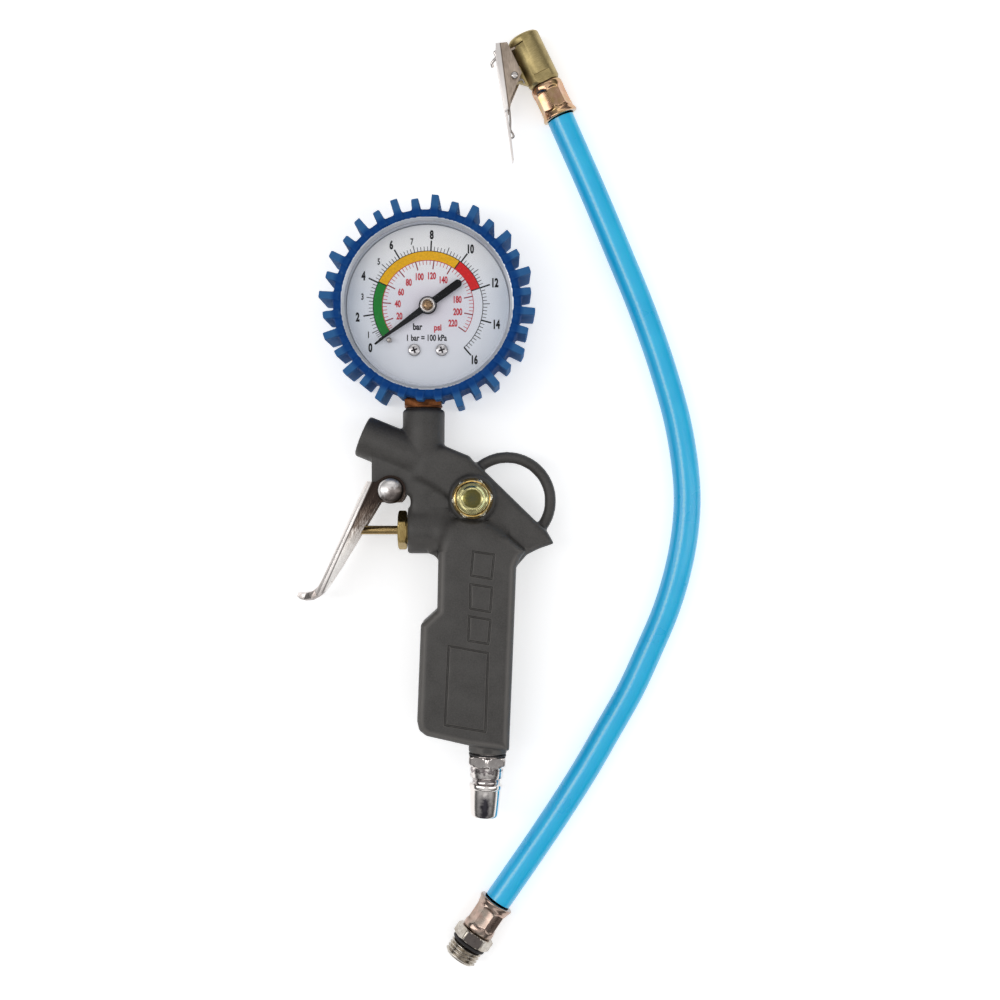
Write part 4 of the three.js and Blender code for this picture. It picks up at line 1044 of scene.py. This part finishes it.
def cast_body():
    """The casting with rounded edges, and the four shallow frames cut into its grip."""
    mesh = remeshed(cad_copy("gun_body"), 0.5, 8)
    work = bmesh.new()
    work.from_mesh(mesh)
    flowing = [v for v in work.verts if in_flow(v.co)]
    shoulder = [v for v in work.verts if in_shoulder(v.co)]
    for soft, passes in ((flowing, FLOW_PASSES), (shoulder, SHOULDER_PASSES)):
        for _ in range(passes):
            bmesh.ops.smooth_vert(
                work, verts=soft, factor=0.5, use_axis_x=True, use_axis_y=True, use_axis_z=True)
    edges = list({e for f in work.faces if on_face(f.calc_center_median()) for e in f.edges})
    bmesh.ops.subdivide_edges(work, edges=edges, cuts=2, use_grid_fill=True)
    level = np.array([v.co.xy for v in work.verts]) / MM - np.array(CENTRE_SHIFT)
    distance = np.min([outline_distance(level, f) for f in GRIP_FRAMES], axis=0)
    for vert, gap in zip(work.verts, distance):
        if on_face(vert.co):
            dip = GROOVE_DEPTH * (1 - smoothstep(0.35 * GROOVE_HALF, 1.35 * GROOVE_HALF, gap))
            vert.co.z = min(vert.co.z, GRIP_TOP * MM) - dip * MM
    work.to_mesh(mesh)
    work.free()
    return mesh


put("gun_casting", cast_body(), "cast", "gun", ["gun_body"], 80)

# ---------------------------------------------------------------- side plug and inlet
plug_z = PAD_TOP + 1.5


def plug_mesh():
    head = hexagon(13.6, PLUG_TURN, 0.1)
    profile = [(0, 15 - plug_z), (4.45, 15 - plug_z), (4.45, -0.05), (6.6, -0.05), (least(head, 7.1), 0.05),
               (least(head, 7.55), 0.35), (head, 0.6), (head, 3.3), (least(head, 7.7), 3.5),
               (least(head, 7.3), 3.85), (least(head, 6.8), 4.2), (6.5, 4.32), (6.35, 4.4), (6.3, 4.9),
               (6.1, 5.35), (5.75, 5.75), (5.25, 6.05), (4.85, 6.3), (4.6, 6.7), (4.3, 7.15), (3.8, 7.5),
               (3.0, 7.68), (1.6, 7.7), (0.0, 7.7)]
    return loft(profile, at(*PLUG_AT, plug_z), UP, 144)


put("plug_gold_head", plug_mesh(), "plug", "gun", ["hex_plug"], 26)
put("plug_gold_washer",
    loft(rounded_profile([(4.9, 0), (7.8, 0), (7.8, 0.9), (4.9, 0.9), (4.9, 0)], 0.3),
         at(*PLUG_AT, PAD_TOP + 0.3), UP),
    "washer", "gun", ["plug_washer"])

inlet_way = heading(270 - INLET_LEAN)


def inlet_mesh():
    collar = hexagon(14.0, 30, 0.1)
    profile = [(2.5, -10), (5.4, -10), (5.7, -9.4), (5.7, 0.98), (6.9, 0.98), (least(collar, 7.3), 1.05),
               (least(collar, 7.8), 1.35), (collar, 1.6), (collar, 3.7), (least(collar, 7.7), 4.2),
               (least(collar, 7.1), 4.75), (6.5, 5.0), (6.35, 5.15), (6.35, 8.8), (6.2, 9.15), (5.8, 9.4),
               (5.4, 9.65), (5.28, 10.0), (5.28, 10.9), (5.4, 11.2), (5.9, 11.5), (6.25, 11.8), (6.35, 12.2),
               (6.35, 13.0), (6.25, 13.4), (6.02, 13.7), (5.94, 14.2), (5.9, 15.5), (5.75, 18.0),
               (5.55, 21.0), (5.38, 23.4), (5.2, 23.9), (4.9, 24.25), (3.6, 24.3), (3.0, 24.0), (2.5, 23.2),
               (2.5, -10)]
    return loft(profile, at(*INLET_AT, MID_Z), inlet_way, 144)


put("inlet_nipple", inlet_mesh(), "inlet", "gun", ["inlet_plug"], 26)

# ---------------------------------------------------------------- trigger, pin and rod
valve_way = Vector((1, 0, 0))
NUT_FACE = -11.4
ROD_TIP = -29.95
ROD_END = 12.0


def nut_mesh():
    nut = hexagon(13.3, NUT_TURN, 0.12)
    profile = [(2.0, 0), (5.6, 0), (6.5, 0.02), (least(nut, 7.05), 0.15), (least(nut, 7.5), 0.42),
               (nut, 0.7), (nut, 2.7), (least(nut, 7.4), 3.05), (least(nut, 6.9), 3.4), (5.2, 3.4),
               (5.2, 9.8), (2.0, 9.8), (2.0, 0)]
    return loft(profile, at(NUT_FACE, VALVE_Y, MID_Z), valve_way, 144)


put("gland_nut_hex", nut_mesh(), "nut", "gun", ["gland_nut"], 26)
rod_length = ROD_END - ROD_TIP
put("valve_push_rod",
    loft([(0, 0), (0.5, 0.06), (0.95, 0.26), (1.32, 0.62), (1.58, 1.1), (1.7, 1.7), (1.7, rod_length),
          (0, rod_length)], at(ROD_TIP, VALVE_Y, MID_Z), valve_way, 64),
    "rod", "valve_rod", ["push_rod"])

TIP_OUTLINE = [
    (-49.7, -33.3), (-49.8, -34.4), (-48.6, -35.6), (-46.2, -36.2), (-43.4, -36.0), (-40.9, -34.6),
    (-38.6, -31.9), (-39.4, -29.6), (-42.4, -31.6), (-44.8, -33.0), (-47.2, -33.4),
]
TIP_HALF = 4.7
lever_tip = mesh_of(*slab(TIP_OUTLINE, MID_Z - TIP_HALF, MID_Z + TIP_HALF))
lever_sheet = carved(cad_copy("trigger_lever"), lever_tip, operation="UNION")
put("trigger_sheet", softened(lever_sheet, 0.3, 3), "lever", "trigger", ["trigger_lever"], 32)

PIN_HEAD_Z = 20.8
pin_foot = 4.2 - PIN_HEAD_Z
dome = [(4.95 * math.cos(a), 0.55 + 3.0 * math.sin(a)) for a in (math.pi / 2 * i / 14 for i in range(14))]
put("trigger_pin_dome",
    loft([(0, pin_foot), (1.9, pin_foot), (2.0, pin_foot + 0.2), (2.0, 0), (4.8, 0), (5.0, 0.15),
          (5.0, 0.45), *dome, (0, 3.55)], at(*PIVOT, PIN_HEAD_Z), UP, 96),
    "pin", "gun", ["trigger_pin"])

# ---------------------------------------------------------------- gauge: boot, window and stem
TEETH = 32
TOOTH_TURN = -4.5
TOOTH_ROOT = 33.0
TOOTH_TOP = 31.6
TOOTH_WIDTHS = (3.1, 2.8)  # at the root and at the end
STEM_X, STEM_HALF = -1.7, 7.25


def on_gauge(profile, sides=192):
    return loft(profile, at(*GAUGE_AT, 0), UP, sides)


def tooth_reach(i, angle):
    if 250 < angle < 285:
        return 36.4
    return 39.2 if i % 2 else 40.6


def boot_mesh():
    """Ring and teeth of the rubber boot. The teeth stand a little over the ring's face."""
    ring = on_gauge([(21, 0), (34.5, 0), (35.3, 0.8), (35.3, 29.4), (35.0, 30.4), (34.2, 31.0),
                     (32.9, 31.15), (32.3, 31.0), (32.0, 30.8), (33.5, 30.8), (33.5, 1.8), (21, 1.8),
                     (21, 0)])
    work = bmesh.new()
    work.from_mesh(ring)
    for i in range(TEETH):
        angle = TOOTH_TURN + 360 / TEETH * i
        out, across = heading(angle), heading(angle + 90)
        rows = zip((TOOTH_ROOT, tooth_reach(i, angle)), TOOTH_WIDTHS)
        level = [out * along + across * side * width / 2 for along, width in rows for side in (-1, 1)]
        made = [work.verts.new(at(*GAUGE_AT, z) + place * MM) for z in (0.0, TOOTH_TOP) for place in level]
        for face in BOX_FACES:
            work.faces.new([made[k] for k in face])
    bmesh.ops.recalc_face_normals(work, faces=work.faces)
    joined = bpy.data.meshes.new("boot")
    work.to_mesh(joined)
    work.free()
    stem_hole = box_mesh(at(STEM_X - STEM_HALF, 36, MID_Z - STEM_HALF),
                         at(STEM_X + STEM_HALF, 46, MID_Z + STEM_HALF))
    return carved(remeshed(joined, 0.4, 4), stem_hole)


put("boot_rubber_ring", boot_mesh(), "boot", "gun", ["gauge_boot"], 60)
put("gauge_lens", on_gauge([(0, 26.9), (31.7, 26.9), (31.9, 27.1), (31.9, 28.1), (31.6, 28.45),
                            (31.0, 28.5), (0, 28.5)]), "clear", "gun", ["gauge_window"])
put("gauge_bezel_ring",
    on_gauge([(31.0, 28.8), (33.1, 28.8), (33.2, 28.95), (33.2, 30.0), (32.95, 30.3), (32.5, 30.4),
              (32.1, 30.3), (31.75, 30.0), (31.5, 29.75), (31.2, 29.6), (31.0, 29.3), (31.0, 28.8)]),
    "bezel", "gun", ["gauge_bezel"], 50)
put("gauge_stem_block", softened(cad_copy("gauge_stem"), 0.35, 3), "copper", "gun",
    ["gauge_stem"])

# ---------------------------------------------------------------- gauge: dial and print
put("dial_disc", on_gauge([(1.3, 21.0), (30.7, 21.0), (30.8, 21.1), (30.8, 21.7), (30.7, 21.8), (1.3, 21.8),
                           (1.3, 21.0)]), "dial", "gun", ["dial_plate"])
PRINT_LOW = DIAL_TOP - 0.02
BAND_HIGH = DIAL_TOP + 0.03
PRINT_HIGH = DIAL_TOP + 0.06
ZERO, GREEN_END, YELLOW_END, RED_END, LAST = 216, 154, 54.5, 19, -49  # angles on the dial
BAND_IN, BAND_OUT = 17.3, 20.8
BAR_MAX, PSI_MAX = 16, 220
PSI_IN_BAR = 0.0689


def bar_angle(bar):
    """Where a reading stands on the dial, in degrees."""
    return ZERO - 10 * bar if bar < 1 else ZERO - 10 - 17 * (bar - 1)


def psi_angle(psi):
    return bar_angle(psi * PSI_IN_BAR)


def dial_point(radius, degrees):
    angle = math.radians(degrees)
    return GAUGE_AT[0] + radius * math.cos(angle), GAUGE_AT[1] + radius * math.sin(angle)


ASCENT = 0.72  # height of the tall letters in the typeface's own units


class Print:
    """Collects flat printed marks of one colour and turns them into one thin piece."""

    def __init__(self, name, high=PRINT_HIGH):
        self.name, self.high = name, high
        self.verts, self.faces = [], []

    def take(self, verts, faces):
        base = len(self.verts)
        self.verts += verts
        self.faces += [tuple(base + i for i in face) for face in faces]

    def outline(self, points):
        self.take(*slab(points, PRINT_LOW, self.high))

    def arc(self, inner, outer, start, end):
        """Part of a ring as one closed solid."""
        count = max(2, round(abs(end - start)))
        verts, faces = [], []
        for k in range(count + 1):
            turn = start + (end - start) * k / count
            inside, outside = dial_point(inner, turn), dial_point(outer, turn)
            verts += [at(*inside, PRINT_LOW), at(*outside, PRINT_LOW)]
            verts += [at(*outside, self.high), at(*inside, self.high)]
        for i in range(count):
            for k in range(4):
                a, b = 4 * i + k, 4 * i + (k + 1) % 4
                faces.append((a, b, b + 4, a + 4))
        faces += [(3, 2, 1, 0), tuple(4 * count + k for k in range(4))]
        self.take(verts, faces)

    def tick(self, inner, outer, degrees, width):
        across = heading(degrees + 90).xy * width / 2
        ends = ((inner, 1), (inner, -1), (outer, -1), (outer, 1))
        self.outline([Vector(dial_point(radius, degrees)) + across * side for radius, side in ends])

    def text(self, words, centre, height, narrow, weight):
        """Words in the built-in typeface, centred on a design point."""
        curve = bpy.data.curves.new("words", "FONT")
        curve.body = words
        curve.extrude = 0.02
        curve.offset = weight
        curve.resolution_u = 4
        holder = add_object("words", curve)
        bpy.context.view_layer.update()
        made = bpy.data.meshes.new_from_object(holder.evaluated_get(bpy.context.evaluated_depsgraph_get()))
        bpy.data.objects.remove(holder)
        work = bmesh.new()
        work.from_mesh(made)
        bmesh.ops.remove_doubles(work, verts=work.verts, dist=1e-4)
        bmesh.ops.recalc_face_normals(work, faces=work.faces)
        work.verts.index_update()
        place = np.array([v.co for v in work.verts])
        low, high = place.min(0), place.max(0)
        lower = any(c.islower() for c in words)
        scale = height / (ASCENT if lower else high[1] - low[1])
        middle = (low + high) / 2
        verts = []
        for x, y, z in place:
            level = centre[0] + (x - middle[0]) * scale * narrow, centre[1] + (y - middle[1]) * scale
            share = (z - low[2]) / (high[2] - low[2])
            verts.append(at(*level, PRINT_LOW + share * (self.high - PRINT_LOW)))
        faces = [tuple(v.index for v in f.verts) for f in work.faces]
        work.free()
        self.take(verts, faces)

    def done(self):
        return put(self.name, mesh_of(self.verts, self.faces), self.name, "gun", (), 20)


black, red, maroon = Print("ink_black"), Print("ink_red"), Print("ink_maroon")

BANDS = (("band_green", ZERO, GREEN_END), ("band_yellow", GREEN_END, YELLOW_END),
         ("band_red", YELLOW_END, RED_END))
for name, start, end in BANDS:
    band = Print(name, BAND_HIGH)
    band.arc(BAND_IN, BAND_OUT, start, end)
    band.done()

for fifth in range(5 * BAR_MAX + 1):
    if fifth % 10 == 0:
        outer, width = 24.8, 0.56
    elif fifth % 5 == 0:
        outer, width = 23.5, 0.28
    else:
        outer, width = 22.5, 0.22
    black.tick(BAND_OUT, outer, bar_angle(fifth / 5), width)
for edge in (GREEN_END, YELLOW_END, RED_END):
    black.tick(BAND_IN, 20.9, edge, 0.42)
black.arc(20.7, 20.95, ZERO, LAST)
for number in range(0, BAR_MAX + 1, 2):
    black.text(str(number), dial_point(27.0, bar_angle(number)), 3.55, 0.62, 0.05)
for number in (1, 3, 5, 7):
    black.text(str(number), dial_point(25.1, bar_angle(number)), 2.5, 0.64, 0.03)

red.arc(17.15, 17.4, ZERO, psi_angle(PSI_MAX))
for psi in range(0, PSI_MAX + 1, 4):
    if psi % 20 == 0:
        maroon.tick(14.0, BAND_IN, psi_angle(psi), 0.42)
    else:
        red.tick(15.6, BAND_IN, psi_angle(psi), 0.22)
for psi in range(20, PSI_MAX + 1, 20):
    if psi != 160:  # the photo shows no figure there
        red.text(str(psi), dial_point(11.5, psi_angle(psi)), 2.75, 0.64, 0.04)
for colour, words, across, up, height, narrow, weight in (
    (black, "bar", -3.9, -7.9, 2.45, 0.78, 0.034),
    (red, "psi", 3.7, -8.6, 2.45, 0.78, 0.034),
    (black, "1 bar = 100 kPa", -0.4, -12.1, 2.35, 0.74, 0.026),
):
    colour.text(words, (GAUGE_AT[0] + across, GAUGE_AT[1] + up), height, narrow, weight)
for colour in (black, red, maroon):
    colour.done()


SCREW_HEAD_Z = 22.1


def dial_screw(side):
    """Raised cross-recessed screw head in the dial."""
    origin = at(GAUGE_AT[0] + side * 5.2, GAUGE_AT[1] - 16.8, SCREW_HEAD_Z)
    body = loft([(0, 12 - SCREW_HEAD_Z), (1.25, 12 - SCREW_HEAD_Z), (1.25, 0), (2.05, 0), (2.25, 0.12),
                 (2.25, 0.35), (2.1, 0.62), (1.7, 0.84), (1.0, 0.97), (0, 1.0)], origin, UP, 64)
    slots = []
    for turn in (20, 110):
        way, across = heading(turn), heading(turn + 90)
        verts = [origin + (way * a * 1.25 + across * b * 0.32) * MM + UP * z * MM
                 for a in (-1, 1) for b in (-1, 1) for z in (0.45, 1.5)]
        slots.append(mesh_of(verts, BOX_FACES))
    return carved(body, *slots)


for side, word in ((-1, "left"), (1, "right")):
    put("dial_screw_head_" + word, dial_screw(side), "screw", "gun", ["dial_screw_" + word], 30)

# ---------------------------------------------------------------- gauge: pointer
POINTER_Z = 23.6
needle_way = heading(POINTER_REST)
needle_side = heading(POINTER_REST + 90)


def needle_mesh():
    half = [(25.0, 0.1), (24.0, 0.3), (8.0, 1.05), (3.0, 1.3)]
    turns = [math.pi / 2 * i / 8 for i in range(9)]
    tail = [(-15.5 + 1.5 * (1 - math.cos(turn)), 1.5 * math.sin(turn)) for turn in turns]
    upper = half + [(0.0, 1.35)] + tail[::-1]
    outline = upper + [(u, -v) for u, v in reversed(upper) if v > 1e-6]
    points = [Vector(GAUGE_AT) + needle_way.xy * u + needle_side.xy * v for u, v in outline]
    blade = mesh_of(*slab(points, POINTER_Z, POINTER_Z + 0.6))
    return softened(blade, 0.12, 2, 40)


put("needle_blade", needle_mesh(), "black", "needle", ["pointer"], 40)
HUB_PROFILE = [(0.9, 23.4), (3.4, 23.4), (3.4, 24.4), (2.95, 24.5), (0.9, 24.5), (0.9, 23.4)]
COLLAR_PROFILE = [(0.9, 24.5), (2.95, 24.5), (2.95, 24.95), (2.6, 25.25), (2.15, 25.25), (2.0, 25.0),
                  (0.9, 25.0), (0.9, 24.5)]
CAP_PROFILE = [(0, 25.0), (1.85, 25.0), (1.85, 25.4), (1.6, 25.75), (1.15, 25.95), (0.55, 26.0),
               (0.5, 25.85), (0, 25.85)]
STOP_PROFILE = [(0, 20.2), (0.6, 20.2), (0.6, 22.1), (0.95, 22.1), (0.95, 24.9), (0.5, 25.2), (0, 25.2)]
put("needle_hub", on_gauge(rounded_profile(HUB_PROFILE, 0.12), 96), "black", "needle")
put("needle_collar", on_gauge(rounded_profile(COLLAR_PROFILE, 0.08), 96), "chrome", "needle")
put("needle_cap", on_gauge(CAP_PROFILE, 64), "hub", "needle", ["pointer_cap"])
stop = dial_point(19.7, 222)
put("stop_pin", loft(rounded_profile(STOP_PROFILE, 0.12), at(*stop, 0), UP, 40), "steel", "gun",
    ["pointer_stop"])

# ---------------------------------------------------------------- finishes of the CAD pieces still shown
KEPT_LOOKS = {
    "inlet_seal": "rubber", "gland_seal": "rubber", "valve_seat": "brass", "poppet_seal": "rubber",
    "valve_poppet": "brass", "valve_spring": "steel", "pin_clip": "steel", "gauge_case": "case",
    "stem_washer": "rubber", "bourdon_tube": "brass", "tube_tip": "brass", "movement_plate_lower": "brass",
    "movement_plate_upper": "brass", "movement_pillar_left": "steel", "movement_pillar_right": "steel",
    "sector_gear": "brass", "pinion_spindle": "steel", "tip_link": "steel", "hairspring": "steel",
    "chuck_seal": "rubber", "chuck_depressor": "brass",
}
for name, look in KEPT_LOOKS.items():
    wear(nodes[name].data, look)

# ---------------------------------------------------------------- floor, sky and lights
FLOOR_HALF = 40  # metres, like the floor's height
FLOOR_Z = -0.0004
# The sky's brightness by height, from straight down to straight up.
SKY = [(0.0, 0.85), (0.26, 0.14), (0.45, 0.55), (0.68, 0.95), (0.9, 0.95), (0.96, 1.6), (1.0, 1.7)]
SKY_STRENGTH = 0.5


def lay_floor():
    """A matt pale floor that gives off some light of its own."""
    r = Recipe("floor", roughness=0.75, Emission_Color=(1, 1, 1, 1), Emission_Strength=0.5)
    haze = r.noise(1000 / 9, 2)
    r.paint(r.ramp(haze, (0.3, (0.86, 0.86, 0.86)), (0.7, (0.88, 0.88, 0.88))))
    corners = [(x * FLOOR_HALF, y * FLOOR_HALF, FLOOR_Z) for x, y in ((-1, -1), (1, -1), (1, 1), (-1, 1))]
    sheet = mesh_of(corners, [(0, 1, 2, 3)])
    sheet.materials.append(r.material)
    add_object("floor", sheet)


def hang_sky():
    world = bpy.data.worlds.new("studio")
    bpy.context.scene.world = world
    world.use_nodes = True
    tree = world.node_tree
    direction = tree.nodes.new("ShaderNodeTexCoord").outputs["Generated"]
    split = tree.nodes.new("ShaderNodeSeparateXYZ")
    tree.links.new(direction, split.inputs[0])
    sky = tree.nodes.new("ShaderNodeValToRGB")
    while len(sky.color_ramp.elements) < len(SKY):
        sky.color_ramp.elements.new(0.5)
    for element, (position, level) in zip(sky.color_ramp.elements, SKY):
        element.position = position
        element.color = (level, level, level * 1.01, 1)
    tree.links.new(split.outputs[2], sky.inputs[0])
    background = tree.nodes["Background"]
    tree.links.new(sky.outputs[0], background.inputs[0])
    background.inputs[1].default_value = SKY_STRENGTH


def soft_box(name, place, target, size, watts):
    data = bpy.data.lights.new(name, "AREA")
    data.shape = "RECTANGLE"
    data.size, data.size_y = size
    data.energy = watts
    light = add_object(name, data)
    light.location = place
    light.rotation_mode = "QUATERNION"
    light.rotation_quaternion = (Vector(target) - Vector(place)).to_track_quat("-Z", "Y")


lay_floor()
hang_sky()
soft_box("left_box", (-0.75, 0.05, 0.95), (0.02, 0, 0), (0.35, 1.3), 3.6)
soft_box("right_box", (0.95, -0.05, 0.85), (0.03, 0, 0), (0.35, 1.3), 2.0)
soft_box("far_box", (0.02, 1.05, 0.95), (0.02, 0, 0), (1.2, 0.3), 1.2)
soft_box("near_box", (0.02, -1.05, 0.8), (0.02, 0, 0), (1.2, 0.3), 0.9)
